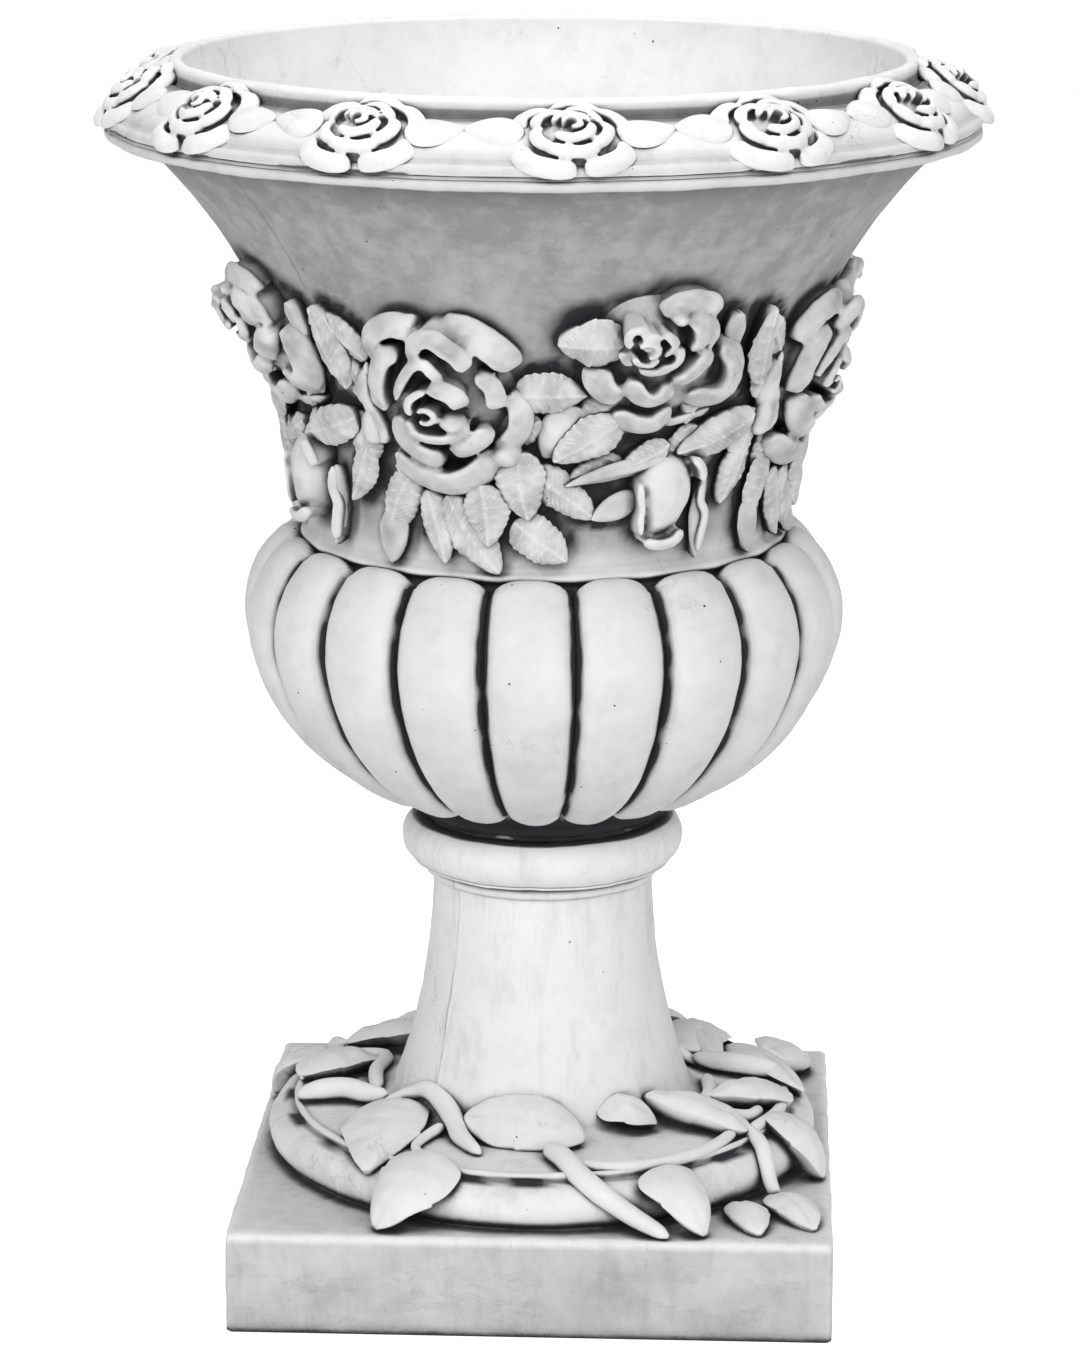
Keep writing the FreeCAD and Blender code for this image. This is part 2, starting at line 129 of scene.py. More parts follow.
def lay_floor():
    mesh = bpy.data.meshes.new("floor")
    mesh.from_pydata([(x * floor_half, y * floor_half, 0) for x, y in ((-1, -1), (1, -1), (1, 1), (-1, 1))],
                     [], [(0, 1, 2, 3)])
    floor = bpy.data.objects.new("floor", mesh)
    bpy.context.scene.collection.objects.link(floor)
    paint = bpy.data.materials.new("floor_paint")
    paint.use_nodes = True
    tree = paint.node_tree
    glow = calc(tree, "MULTIPLY", (add_node(tree, "ShaderNodeLightPath"), "Is Camera Ray"), floor_glow)
    feed(tree, tree.nodes["Principled BSDF"], in_Base_Color=(floor_tone, floor_tone, floor_tone, 1),
         in_Roughness=0.9, in_Emission_Color=(1, 1, 1, 1), in_Emission_Strength=glow)
    mesh.materials.append(paint)


light_up_world()
lay_floor()
for lamp_name, place, size, power in lamps:
    lamp_data = bpy.data.lights.new(lamp_name, "AREA")
    lamp_data.size = size
    lamp_data.energy = power
    lamp = bpy.data.objects.new(lamp_name, lamp_data)
    lamp.location = place
    aim = Vector(lamps_aim) - Vector(place)
    lamp.rotation_euler = aim.to_track_quat("-Z", "Y").to_euler()
    bpy.context.scene.collection.objects.link(lamp)

# ---- Pedestal ------------------------------------------------------------------------------------
# One casting of stone: square plinth, ring foot, saucer, waisted stem, bead and collar, with a socket
# for the bowl's spigot and a bore down to the ground. It was poured in a mould, so that its edges are
# soft and worn, and a dark wash was rubbed into its recesses. Its paint lays painted shade with the
# wash in the recesses, turns the plinth's sides grey, and keeps the worn plinth edge pale as a painted
# highlight.
plinth_half = 189.5
plinth_top = 65.0
plinth_corner = 3.5
bore_radius = 18.0
socket_radius = 42.0
socket_floor = 273.5
collar_top = 289.5
collar_radius = 79.5
ring_foot_radius = 173.6
plain_columns = 288
corner_columns = 9
corner_spread = math.radians(1.6)
seam_azimuth = math.radians(-46.0)
# Near black of the dark wash, also used as painted shade in hollows and creases.
wash_and_shade_black = (0.03, 0.03, 0.032)
# Grey that grime and painted shade turn the stone towards.
grime_and_shade_tone = 0.3
mark_tone = 0.12
stain_tone = 0.5


def arc(centre_r, centre_z, radius, first, last, steps):
    """Points of a round moulding, from the angle first to the angle last in degrees."""
    turns = np.radians(np.linspace(first, last, steps))
    return [(centre_r + radius * math.cos(t), centre_z + radius * math.sin(t)) for t in turns]


def runs(start, *stretches):
    """Points along straight stretches after start, each given by its end and its number of steps."""
    points = []
    for end, steps in stretches:
        points += [(start[0] + (end[0] - start[0]) * i / steps, start[1] + (end[1] - start[1]) * i / steps)
                   for i in range(1, steps + 1)]
        start = end
    return points


def sway(start, end, bulge, steps):
    """Points along a shallow arc that leaves the chord to its left by bulge at its middle."""
    chord = np.subtract(end, start)
    side = np.array((-chord[1], chord[0])) / np.hypot(*chord)
    shares = np.arange(1, steps + 1) / steps
    return [tuple(np.add(start, chord * t) + side * bulge * 4 * t * (1 - t)) for t in shares]


def waver(points, wavelength, seed, waves=7):
    """Smooth random value, about -1 to 1, at each point; it comes from waves in seeded directions."""
    draw = np.random.default_rng(seed)
    total = np.zeros(len(points))
    for _ in range(waves):
        heading = draw.normal(size=3)
        heading *= 2 * math.pi / wavelength / np.linalg.norm(heading) * draw.uniform(0.6, 1.5)
        total += np.sin(points @ heading + draw.uniform(0, 2 * math.pi))
    return total / math.sqrt(waves)


def grid_faces(rows, columns, loop_rows):
    """Quads of a grid whose columns close in a ring, and whose rows do too if loop_rows is set."""
    first = np.arange(rows if loop_rows else rows - 1)[:, None]
    column = np.arange(columns)[None, :]
    ahead_row = (first + 1) % rows
    ahead_column = (column + 1) % columns
    corners = (first * columns + column, first * columns + ahead_column,
               ahead_row * columns + ahead_column, ahead_row * columns + column)
    return np.stack([np.broadcast_to(c, (len(first), columns)) for c in corners], axis=-1).reshape(-1, 4)


def new_piece(name, points, faces):
    """Object at the origin whose mesh holds the points, given in millimetres."""
    mesh = bpy.data.meshes.new(name)
    mesh.from_pydata((np.asarray(points, float) * MM).tolist(), [],
                     faces.tolist() if hasattr(faces, "tolist") else faces)
    mesh.polygons.foreach_set("use_smooth", [True] * len(mesh.polygons))
    mesh.update()
    piece = bpy.data.objects.new(name, mesh)
    bpy.context.scene.collection.objects.link(piece)
    return piece


def normals_of(piece):
    found = np.zeros(len(piece.data.vertices) * 3)
    piece.data.vertex_normals.foreach_get("vector", found)
    return found.reshape(-1, 3)


def points_of(piece):
    found = np.zeros(len(piece.data.vertices) * 3)
    piece.data.vertices.foreach_get("co", found)
    return found.reshape(-1, 3) / MM


def push(piece, amounts):
    """Move each point along its normal by its amount in millimetres."""
    moved = points_of(piece) + normals_of(piece) * np.asarray(amounts)[:, None]
    piece.data.vertices.foreach_set("co", (moved * MM).ravel())
    piece.data.update()


def square_reach(azimuths, half, corner):
    """Distance from the axis to the side of a square with rounded corners, at each azimuth."""
    folded = np.abs((azimuths + math.pi / 4) % (math.pi / 2) - math.pi / 4)
    flat = half / np.cos(folded)
    inner = half - corner
    middle = math.pi / 4 - folded
    along = inner * math.sqrt(2) * np.cos(middle)
    off = inner * math.sqrt(2) * np.sin(middle)
    round_reach = along + np.sqrt(np.maximum(corner ** 2 - off ** 2, 0))
    return np.where(half * np.tan(folded) > inner, round_reach, flat)


def store(piece, name, amounts):
    """Keep a value from 0 to 1 at each point of a piece, for its paint to read."""
    kept = piece.data.attributes.new(name, "FLOAT", "POINT")
    kept.data.foreach_set("value", np.clip(np.broadcast_to(amounts, len(piece.data.vertices)), 0, 1))


def ramp(values, start, end):
    """Smooth step of the values, 0 at start and 1 at end."""
    share = np.clip((np.asarray(values, float) - start) / (end - start), 0, 1)
    return share * share * (3 - 2 * share)


def grey(level):
    return level, level, level, 1


def noise(tree, place, scale, detail, roughness):
    return add_node(tree, "ShaderNodeTexNoise", in_Vector=place, in_Scale=scale, in_Detail=detail,
                    in_Roughness=roughness)


def stored(tree, name):
    """The value that store() kept on the piece under this name."""
    return add_node(tree, "ShaderNodeAttribute", attribute_name=name), "Fac"


def faded(tree, value, start, end, most=1.0, **values):
    """0 where the value is at start, and most where it has reached end."""
    return add_node(tree, "ShaderNodeMapRange", in_Value=value, in_From_Min=start, in_From_Max=end,
                    in_To_Max=most, clamp=True, **values), 0


def tinted(tree, share, under, over, blend="MIX"):
    """The colour over laid on the colour under, by share."""
    return add_node(tree, "ShaderNodeMix", data_type="RGBA", blend_type=blend, in_Factor=share, in_A=under,
                    in_B=over), "Result"


def open_surface(tree, broad, patch, pale, body):
    """Open stone, between pale and body, turned towards grey where grime and painted shade are stored."""
    stone = tinted(tree, faded(tree, broad, 0.3, 0.8), grey(pale), grey(body))
    uneven = calc(tree, "MULTIPLY_ADD", patch, 0.9, 0.55)
    lain = calc(tree, "MULTIPLY", uneven, stored(tree, "grime"), clamped=True)
    return tinted(tree, lain, stone, grey(grime_and_shade_tone))


def dark_wash_and_shade(tree, patch, fleck, under, wash, width, start, end):
    """Dark wash and painted shade, laid in hollows of the form by ambient occlusion and where it is stored,
    with a ragged edge, and its mask.
    """
    # Ambient occlusion darkens the colour in hollows and where parts meet: this is painted shade.
    near, wide = (add_node(tree, "ShaderNodeAmbientOcclusion", samples=6, in_Distance=reach)
                  for reach in (width * 0.35, width))
    closed_in = calc(tree, "MULTIPLY", (near, "AO"), (wide, "AO"))
    blur = calc(tree, "MULTIPLY_ADD", patch, 0.32, -0.16)
    ragged = calc(tree, "ADD", closed_in, calc(tree, "MULTIPLY_ADD", fleck, 0.14, blur))
    hollow = faded(tree, ragged, start, end, interpolation_type="SMOOTHSTEP")
    laid = calc(tree, "MULTIPLY_ADD", stored(tree, "wash"), 1.5, blur)
    covered = calc(tree, "MAXIMUM", hollow, laid, clamped=True)
    return tinted(tree, covered, under, (*wash, 1)), covered


def rain_stains(tree, place, under, stain, drip):
    """Stains that stand on the open surface, drawn out downwards where rain has run."""
    drawn_out = (1.0, 1.0, 0.22 if drip else 0.8)
    stretch = add_node(tree, "ShaderNodeMapping", in_Scale=drawn_out, in_Vector=place)
    patches = noise(tree, (stretch, 0), 70.0, 9.0, 0.7)
    return tinted(tree, faded(tree, (patches, "Fac"), 0.5, 0.72, stain + drip), under, grey(stain_tone),
                  "MULTIPLY")


def seam_line(tree, place, broad):
    """Mask of the mould seam: a thin wandering line in one upright plane, where it is stored."""
    spot = add_node(tree, "ShaderNodeSeparateXYZ", in_0=place)
    east = calc(tree, "MULTIPLY", (spot, 0), math.cos(seam_azimuth))
    off_seam = calc(tree, "MULTIPLY_ADD", (spot, 1), math.sin(seam_azimuth), east)
    wander = calc(tree, "MULTIPLY_ADD", broad, 0.012, -0.006)
    aside = calc(tree, "ABSOLUTE", calc(tree, "ADD", off_seam, wander))
    return calc(tree, "MULTIPLY", faded(tree, aside, 0.0011, 0.0003, 0.5), stored(tree, "seam"))


def hairlines(tree, place, broad, bend):
    """Mask of the hairline cracks, which come in some patches of the stone only."""
    warp = add_node(tree, "ShaderNodeMix", data_type="VECTOR", in_0=0.06, in_4=place, in_5=bend)
    crack = add_node(tree, "ShaderNodeTexVoronoi", feature="DISTANCE_TO_EDGE", in_Scale=13.0,
                     in_Vector=(warp, 1))
    line = faded(tree, (crack, "Distance"), 0.009, 0.001, 0.42)
    return calc(tree, "MULTIPLY", line, faded(tree, broad, 0.52, 0.62))


def tide_marks(tree, place):
    """Mask of the dried edges and damp fields that water left, where the tide is stored."""
    lying = add_node(tree, "ShaderNodeMapping", in_Scale=(0.8, 0.8, 2.2), in_Vector=place)
    tide = noise(tree, (lying, 0), 17.0, 5.0, 0.6), "Fac"
    off_edge = calc(tree, "ABSOLUTE", calc(tree, "SUBTRACT", tide, 0.5))
    dried = faded(tree, off_edge, 0.010, 0.002, 0.17)
    tidal = calc(tree, "ADD", dried, faded(tree, tide, 0.47, 0.56, 0.1))
    return calc(tree, "MULTIPLY", tidal, stored(tree, "tide"))


def scribed(tree, place, broad, bend, under):
    """Darken the mould seam, hairline cracks and tide marks."""
    lines = calc(tree, "MAXIMUM", seam_line(tree, place, broad), hairlines(tree, place, broad, bend))
    marks = calc(tree, "ADD", lines, tide_marks(tree, place), clamped=True)
    return tinted(tree, marks, under, grey(mark_tone))


def rubbed_and_highlit_edges(tree, under, covered, pale, wash):
    """Fine creases are darkened with wash and painted shade, and worn edges show the pale stone as wear and
    painted highlight unless the wash and shade cover them.
    """
    edge = add_node(tree, "ShaderNodeNewGeometry"), "Pointiness"
    # Low pointiness darkens creases as painted shade; high pointiness lightens crests as wear and painted
    # highlight.
    creased = tinted(tree, faded(tree, edge, 0.492, 0.43, 0.6), under, (*wash, 1))
    worn_and_highlit = faded(tree, edge, 0.505, 0.56, 0.75)
    wear_and_highlight = calc(tree, "MULTIPLY", worn_and_highlit, calc(tree, "SUBTRACT", 1.0, covered))
    return tinted(tree, wear_and_highlight, creased, grey(pale))


def air_holes(tree, place, under, wash, pits):
    """Air holes from the pour: scattered pits, dark inside, and their mask."""
    cells = add_node(tree, "ShaderNodeTexVoronoi", in_Scale=95.0, in_Vector=place)
    split = add_node(tree, "ShaderNodeSeparateColor", in_Color=(cells, "Color"))
    size = faded(tree, (split, 0), 0.6, 1.0, 0.065 * pits)
    inside = calc(tree, "LESS_THAN", (cells, "Distance"), size)
    return tinted(tree, inside, under, (*[c * 0.9 for c in wash], 1)), inside


def sandy_grain(tree, place, fleck, inside):
    """Relief of sandy grain, soft pocks and the pits."""
    sand = noise(tree, place, 1500.0, 3.0, 0.6)
    pocked = calc(tree, "MULTIPLY_ADD", (sand, "Fac"), 0.35, fleck)
    height = calc(tree, "MULTIPLY_ADD", inside, -1.6, pocked)
    return add_node(tree, "ShaderNodeBump", in_Strength=0.4, in_Distance=0.0006, in_Height=height), 0


def cast_stone(name, pale, body, wash, wash_and_shade_width, wash_and_shade_start, wash_and_shade_end, stain, drip=0.0, pits=1.0):
    """Cast stone with a dark wash and painted shade in its hollows; stored grime and painted shade turn it
    grey, stored wash and painted shade nearly black.
    """
    paint = bpy.data.materials.new(name)
    paint.use_nodes = True
    tree = paint.node_tree
    place = add_node(tree, "ShaderNodeTexCoord"), "Object"
    broad = noise(tree, place, 11.0, 5.0, 0.6), "Fac"
    patches = noise(tree, place, 55.0, 6.0, 0.65)
    patch, bend = (patches, "Fac"), (patches, "Color")
    fleck = noise(tree, place, 420.0, 4.0, 0.7), "Fac"
    colour = open_surface(tree, broad, patch, pale, body)
    colour, covered = dark_wash_and_shade(tree, patch, fleck, colour, wash, wash_and_shade_width, wash_and_shade_start, wash_and_shade_end)
    colour = rain_stains(tree, place, colour, stain, drip)
    colour = scribed(tree, place, broad, bend, colour)
    colour = rubbed_and_highlit_edges(tree, colour, covered, pale, wash)
    colour, inside = air_holes(tree, place, colour, wash, pits)
    feed(tree, tree.nodes["Principled BSDF"], in_Roughness=0.82, in_Specular_IOR_Level=0.25,
         in_Base_Color=colour, in_Normal=sandy_grain(tree, place, fleck, inside))
    return paint


def pedestal_profile():
    """Profile of the casting from the bore's foot up, over the collar and down to the plinth's top."""
    shaft = [(bore_radius, 0.0)]
    shaft += runs((bore_radius, 0.0), ((bore_radius, socket_floor), 8), ((socket_radius, socket_floor), 3),
                  ((socket_radius, collar_top), 3), ((collar_radius, collar_top), 5))
    shaft += arc(collar_radius, collar_top - 2.5, 2.5, 80, 20, 4)
    shaft += arc(74, 275.5, 17.0, 52, -52, 24)
    shaft += arc(82.5, 260.6, 1.2, 60, -40, 3)
    shaft += runs((83.2, 260.0), ((76.2, 259.6), 3))
    shaft += arc(71.5, 255.2, 5.0, 62, -62, 10)
    shaft += arc(73.0, 249.8, 1.2, 150, 190, 3)
    shaft += sway((71.2, 248.6), (97.5, 105.5), -6.4, 44)
    shaft += sway((97.5, 105.5), (112.0, 99.9), -1.3, 6)
    shaft += sway((112.0, 99.9), (158.0, 97.2), 0.3, 14)
    shaft += arc(160.6, 96.4, 2.4, 150, -20, 8)
    shaft += runs((162.9, 95.3), ((162.6, 93.6), 2))
    shaft += arc(165, 78.6, 14.5, 96, -62, 40)
    shaft += [(ring_foot_radius, plinth_top)]
    return shaft


def pedestal_mesh():
    """Rings of the casting, round down to the plinth's top and then spread out to its square."""
    azimuths = np.arange(plain_columns) * 2 * math.pi / plain_columns
    close = [math.pi / 4 + quarter * math.pi / 2 + corner_spread * step / corner_columns
             for quarter in range(4) for step in range(-corner_columns, corner_columns + 1)]
    azimuths = np.unique(np.round(np.concatenate([azimuths, close]), 6))
    rings = [(0.0, r, z) for r, z in pedestal_profile()]
    rings += [(share, ring_foot_radius, plinth_top) for share in (0.12, 0.3, 0.5, 0.7, 0.86)]
    edge = plinth_corner
    for angle in np.radians(np.linspace(90, 0, 6)):
        rings.append((1.0, plinth_half - edge + edge * math.cos(angle),
                      plinth_top - edge + edge * math.sin(angle)))
    rings += [(1.0, plinth_half, z) for z in np.linspace(plinth_top - edge, 1.2, 22)[1:]]
    rings.append((1.0, plinth_half - 1.2, 0.0))
    rings += [(share, bore_radius + 8, 0.0) for share in (0.7, 0.4, 0.0)]
    points = []
    for share, radius, z in rings:
        square = square_reach(azimuths, plinth_half - edge, edge * 0.6)
        if share == 1.0:
            reach = square_reach(azimuths, radius, plinth_corner)
        else:
            reach = radius + (square - radius) * share
        points.append(np.stack([reach * np.sin(azimuths), -reach * np.cos(azimuths),
                                np.full(len(azimuths), z)], axis=1))
    return np.concatenate(points), grid_faces(len(rings), len(azimuths), True)[:, ::-1]


pedestal_points, pedestal_faces = pedestal_mesh()
pedestal = new_piece("pedestal_casting", pedestal_points, pedestal_faces)
on_plinth = np.clip((plinth_top + 2 - pedestal_points[:, 2]) / 4, 0, 1)
above_ground = np.clip(pedestal_points[:, 2] / 6, 0, 1)
push(pedestal, above_ground * (0.28 * waver(pedestal_points, 60, 11) + 0.12 * waver(pedestal_points, 14, 12)
                               + 0.25 * on_plinth * waver(pedestal_points, 25, 13)))
pedestal_r = np.hypot(pedestal_points[:, 0], pedestal_points[:, 1])
pedestal_z = pedestal_points[:, 2]
plinth_side = ramp(pedestal_z, plinth_top - 1, plinth_top - 5)
plinth_bed = ramp(pedestal_r, 172, 180) * ramp(pedestal_z, 70, 66) * (1 - plinth_side)
from_edge = plinth_half - np.maximum(np.abs(pedestal_points[:, 0]), np.abs(pedestal_points[:, 1]))
# The plinth's top edge is kept pale: wear and a painted highlight.
worn_and_highlit_edge = ramp(pedestal_z, 59, 63) * ramp(from_edge, 7, 2)
streaks = waver(pedestal_points * (1, 1, 0.12), 9, 16)
on_saucer = ramp(pedestal_z, 110, 99) * ramp(pedestal_z, 92, 97) * ramp(pedestal_r, 112, 122)
# Grey on the plinth's top by the ring foot, where painted shade lies, and on the plinth's sides.
store(pedestal, "grime", (0.26 * plinth_bed + 0.5 * plinth_side * (1 + 0.16 * waver(pedestal_points, 70, 14)))
      * (1 - worn_and_highlit_edge) + 0.04 * on_saucer)
# Near black under the bowl's neck, round the ring foot and under the saucer's lip: wash and painted shade.
store(pedestal, "wash", ramp(pedestal_z, 286.0, 288.3) * ramp(pedestal_r, 84.5, 79.5)
      + ramp(pedestal_z, 72, 67) * ramp(pedestal_r, 178, 174) * ramp(streaks, 0.1, 1.3)
      + 0.8 * ramp(pedestal_z, 91.5, 93.5) * ramp(pedestal_z, 97, 95.4) * ramp(pedestal_r, 158, 161)
      * ramp(waver(pedestal_points, 38, 17), -0.9, 0.5))
store(pedestal, "tide", 0.9 * plinth_side * ramp(pedestal_z, 60, 40) + 0.25 * plinth_bed)
store(pedestal, "seam", ramp(pedestal_z, 100, 108) * ramp(pedestal_z, 262, 256))
pedestal_paint = cast_stone("pedestal_stone_paint", 0.8, 0.7, wash_and_shade_black, 0.024, 0.72, 0.3, stain=0.12,
                            drip=0.25)
pedestal.data.materials.append(pedestal_paint)
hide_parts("pedestal")
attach(pedestal, "root")

# ---- Mortar bed ----------------------------------------------------------------------------------
# A ring of mortar in the joint between the collar and the bowl's neck. It was pressed out a little
# when the bowl was set down, and is painted dark with wash and painted shade like the rest of the recess.
bed_low = 289.5
bed_high = 293.5
bed_inner = 42.5
bed_outer = 76.0
bed_bulge = 1.6
bed_columns = 180

bed_profile = [(bed_inner, bed_low)]
bed_profile += runs((bed_inner, bed_low), ((bed_inner, bed_high), 2), ((bed_outer, bed_high), 4))
bed_profile += sway((bed_outer, bed_high), (bed_outer, bed_low), bed_bulge, 6)
bed_profile += runs((bed_outer, bed_low), ((bed_inner, bed_low), 4))[:-1]
bed_turn = np.arange(bed_columns) * 2 * math.pi / bed_columns
bed_points = np.concatenate([np.stack([r * np.sin(bed_turn), -r * np.cos(bed_turn),
                                       np.full(len(bed_turn), z)], axis=1) for r, z in bed_profile])
mortar = new_piece("mortar_ring", bed_points, grid_faces(len(bed_profile), len(bed_turn), True)[:, ::-1])
pressed_out = np.clip((np.hypot(bed_points[:, 0], bed_points[:, 1]) - 70) / 6, 0, 1)
push(mortar, pressed_out * 0.9 * waver(bed_points, 22, 21))
# Near black in the joint under the bowl's neck: wash and painted shade.
store(mortar, "wash", 0.85 - 0.9 * np.clip(waver(bed_points, 26, 22) - 0.9, 0, 1))
mortar.data.materials.append(cast_stone("mortar_paint", 0.5, 0.34, wash_and_shade_black, 0.02, 0.85, 0.3, stain=0.4))
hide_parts("mortar_bed")
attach(mortar, "root")

# ---- Bowl ----------------------------------------------------------------------------------------
# One casting of stone: a belly of twenty crowned lobes, a flared wall, a moulded rim with a sloping
# bed for flowers, and a hollow with draft down to its drain hole. The lobes end round like fingers
# under the wall's lip, and the deep grooves between them hold the dark wash and painted shade. The
# paint also lays painted shade on the flared wall, most under the rim, under the shoulder bead, in the
# neck and towards the belly's foot, and a painted shadow on the wall round the relief.
lobe_count = 20
lobe_depth = 15.0
lobe_half_columns = 8
belly_radius = 192.0
belly_lower_curve = 142.0
belly_upper_curve = 68.0
belly_blend = math.radians(12.0)
belly_equator = 424.5
belly_lower_angle = 73.0
belly_upper_angle = 62.0
belly_rows = 66
lobe_top_end = 17.0
lobe_foot_end = 17.0
wall_radius = 150.0
flare_start = 494.5
flare_curve = 321.5
flare_height = 233.0
hollow_floor = 327.5
drain_radius = 12.0
spigot_radius = 40.5
spigot_foot = 281.5
neck_radius = 78.0
neck_foot = 293.5


def belly_crest(degrees):
    """Crest of a lobe at an angle below the belly's equator: radius and height."""
    turn = math.radians(degrees)
    if turn <= belly_blend:
        return (belly_radius - belly_upper_curve * (1 - math.cos(turn)),
                belly_equator - belly_upper_curve * math.sin(turn))
    step = belly_lower_curve - belly_upper_curve
    return (belly_radius - belly_upper_curve - step * math.cos(belly_blend)
            + belly_lower_curve * math.cos(turn),
            belly_equator + step * math.sin(belly_blend) - belly_lower_curve * math.sin(turn))


def belly_rings(across):
    """Rings of the lobed belly from its foot to its shoulder; across is 0 on a crown, 1 in a groove."""
    angles = np.linspace(belly_lower_angle, -belly_upper_angle, belly_rows)
    crest = np.array([belly_crest(angle) for angle in angles])
    travelled = np.concatenate([[0], np.cumsum(np.hypot(*np.diff(crest, axis=0).T))])
    rings = []
    for angle, (radius, z), climb in zip(angles, crest, travelled):
        to_top = travelled[-1] - climb
        end = max(0.0, 1 - to_top / lobe_top_end, 1 - climb / lobe_foot_end)
        fullness = np.minimum((across ** 2.7 + end ** 2.4) ** (1 / 2.5), 1.0)
        depth = lobe_depth * radius / belly_radius * (1.25 if end else 1.0)
        sunk = depth * (1 - (1 - fullness ** 2.2) ** 0.5)
        lean = math.radians(angle)
        rings.append((radius - sunk * math.cos(lean), z + sunk * math.sin(lean)))
    return rings


def wall_point(z):
    """Radius and outward lean, in radians, of the flared wall at a height."""
    climb = max(0.0, z - flare_start)
    radius = wall_radius + flare_curve - math.sqrt(flare_curve ** 2 - climb ** 2)
    return radius, math.asin(climb / flare_curve)


def wall_and_rim_profile():
    """Profile from the shoulder up the wall, over the rim and down the hollow to the spigot's foot."""
    line = [(149.0, 473.0), (151.5, 474.6)]
    line += arc(152.2, 477.6, 2.3, -60, 60, 6)
    line += arc(154.4, 484.6, 5.0, 232, 180, 5)
    line += [(wall_radius, z) for z in np.linspace(487, flare_start, 3)]
    line += [(wall_point(z)[0], z) for z in np.linspace(flare_start, flare_start + flare_height, 62)[1:]]
    line += sway((250.0, 727.5), (270.5, 731.0), 1.2, 6)
    line += arc(270.6, 734.6, 3.6, -80, 62, 9)
    line += arc(273.9, 739.3, 1.5, 250, 110, 4)
    line += arc(270.4, 742.6, 3.8, -48, 84, 9)
    line += sway((268.8, 746.8), (236.5, 768.2), -5.2, 22)
    line += arc(236.9, 770.6, 3.0, 268, 200, 5)
    line += runs((233.9, 771.0), ((233.6, 774.2), 2))
    line += arc(229.6, 776.0, 4.0, 0, 90, 7)
    line += arc(228.4, 776.6, 3.4, 92, 178, 6)
    line += sway((225.0, 775.6), (221.5, 762.0), 0.0, 4)
    line += sway((221.5, 762.0), (184.5, 680.0), 2.0, 16)
    line += runs((184.5, 680.0), ((126.0, 530.0), 22))
    line += sway((126.0, 530.0), (114.0, 335.0), 0.0, 12)
    line += arc(106.0, hollow_floor + 8.0, 8.0, 0, -90, 5)
    line += runs((106.0, hollow_floor), ((drain_radius + 2.0, hollow_floor), 10))
    line += arc(drain_radius + 2.0, hollow_floor - 2.0, 2.0, 90, 180, 3)
    line += runs((drain_radius, hollow_floor - 2.0), ((drain_radius, spigot_foot), 4),
                 ((spigot_radius, spigot_foot), 3), ((spigot_radius, neck_foot), 2),
                 ((neck_radius, neck_foot), 4), ((neck_radius, 299.0), 3), ((76.5, 300.5), 1))
    return line


def bowl_mesh():
    """Points and faces of the casting, and for each point how deep in a groove it lies, from 0 to 1."""
    spread = np.sin(np.linspace(-1, 1, 2 * lobe_half_columns, endpoint=False) * math.pi / 2)
    azimuths = np.concatenate([(lobe + spread / 2) * 2 * math.pi / lobe_count for lobe in range(lobe_count)])
    across = np.abs(np.tile(spread, lobe_count))
    rings = belly_rings(across)
    rings += wall_and_rim_profile()
    points = []
    for radius, z in rings:
        reach = np.broadcast_to(radius, len(azimuths))
        points.append(np.stack([reach * np.sin(azimuths), -reach * np.cos(azimuths),
                                np.broadcast_to(z, len(azimuths))], axis=1))
    grooved = np.concatenate([ramp(across, 0.80, 0.955) if i < belly_rows else 0 * across
                              for i in range(len(rings))])
    return np.concatenate(points), grid_faces(len(rings), len(azimuths), True), grooved


bowl_points, bowl_faces, bowl_grooves = bowl_mesh()
bowl = new_piece("bowl_casting", bowl_points, bowl_faces)
push(bowl, 0.35 * waver(bowl_points, 70, 31) + 0.14 * waver(bowl_points, 16, 32))
bowl_r = np.hypot(bowl_points[:, 0], bowl_points[:, 1])
bowl_z = bowl_points[:, 2]
outside = ramp(bowl_r - np.array([wall_point(min(z, 727))[0] for z in bowl_z]), -9, -4)
on_the_wall = outside * ramp(bowl_z, 478, 505) * ramp(bowl_z, 731, 728)
on_belly = np.arange(len(bowl_points)) < belly_rows * 2 * lobe_half_columns * lobe_count
# Grey over the belly, darker towards its foot, and over the flared wall, darker towards the rim: painted
# shade with some grime.
belly_grime_and_shade = 0.17 + 0.12 * ramp(bowl_z, 430, 330) + 0.03 * waver(bowl_points, 30, 37)
wall_grime_and_shade = (0.88 + 0.05 * waver(bowl_points, 80, 33) + 0.03 * waver(bowl_points, 16, 34)
              + 0.12 * ramp(bowl_z, 680, 727))
store(bowl, "grime", on_belly * belly_grime_and_shade + ~on_belly * on_the_wall * wall_grime_and_shade
      + ~on_belly * (1 - on_the_wall) * (0.08 + 0.4 * ramp(bowl_r, 262, 268)))
store(bowl, "seam", on_the_wall * ramp(bowl_z, 640, 655))
# Near black in the grooves, the neck, under the shoulder bead and the rim's lip, and on the wall under the
# rim: wash and painted shade.
store(bowl, "wash", bowl_grooves * (0.85 + 0.2 * waver(bowl_points, 22, 35))
      + ramp(bowl_z, 308, 300) * ramp(bowl_r, 60, 70)
      + 0.7 * ~on_belly * outside * ramp(bowl_z, 471.5, 473.5) * ramp(bowl_z, 477.5, 475.5)
      + 0.55 * ramp(bowl_z, 765, 768) * ramp(bowl_z, 775, 772) * ramp(bowl_r, 231.5, 233)
      + 0.16 * ~on_belly * on_the_wall * ramp(bowl_z, 712, 727))
bowl_paint = cast_stone("bowl_stone_paint", 0.8, 0.68, wash_and_shade_black, 0.024, 0.62, 0.24, stain=0.13, pits=1.25)
bowl.data.materials.append(bowl_paint)
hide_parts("bowl")
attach(bowl, "root")

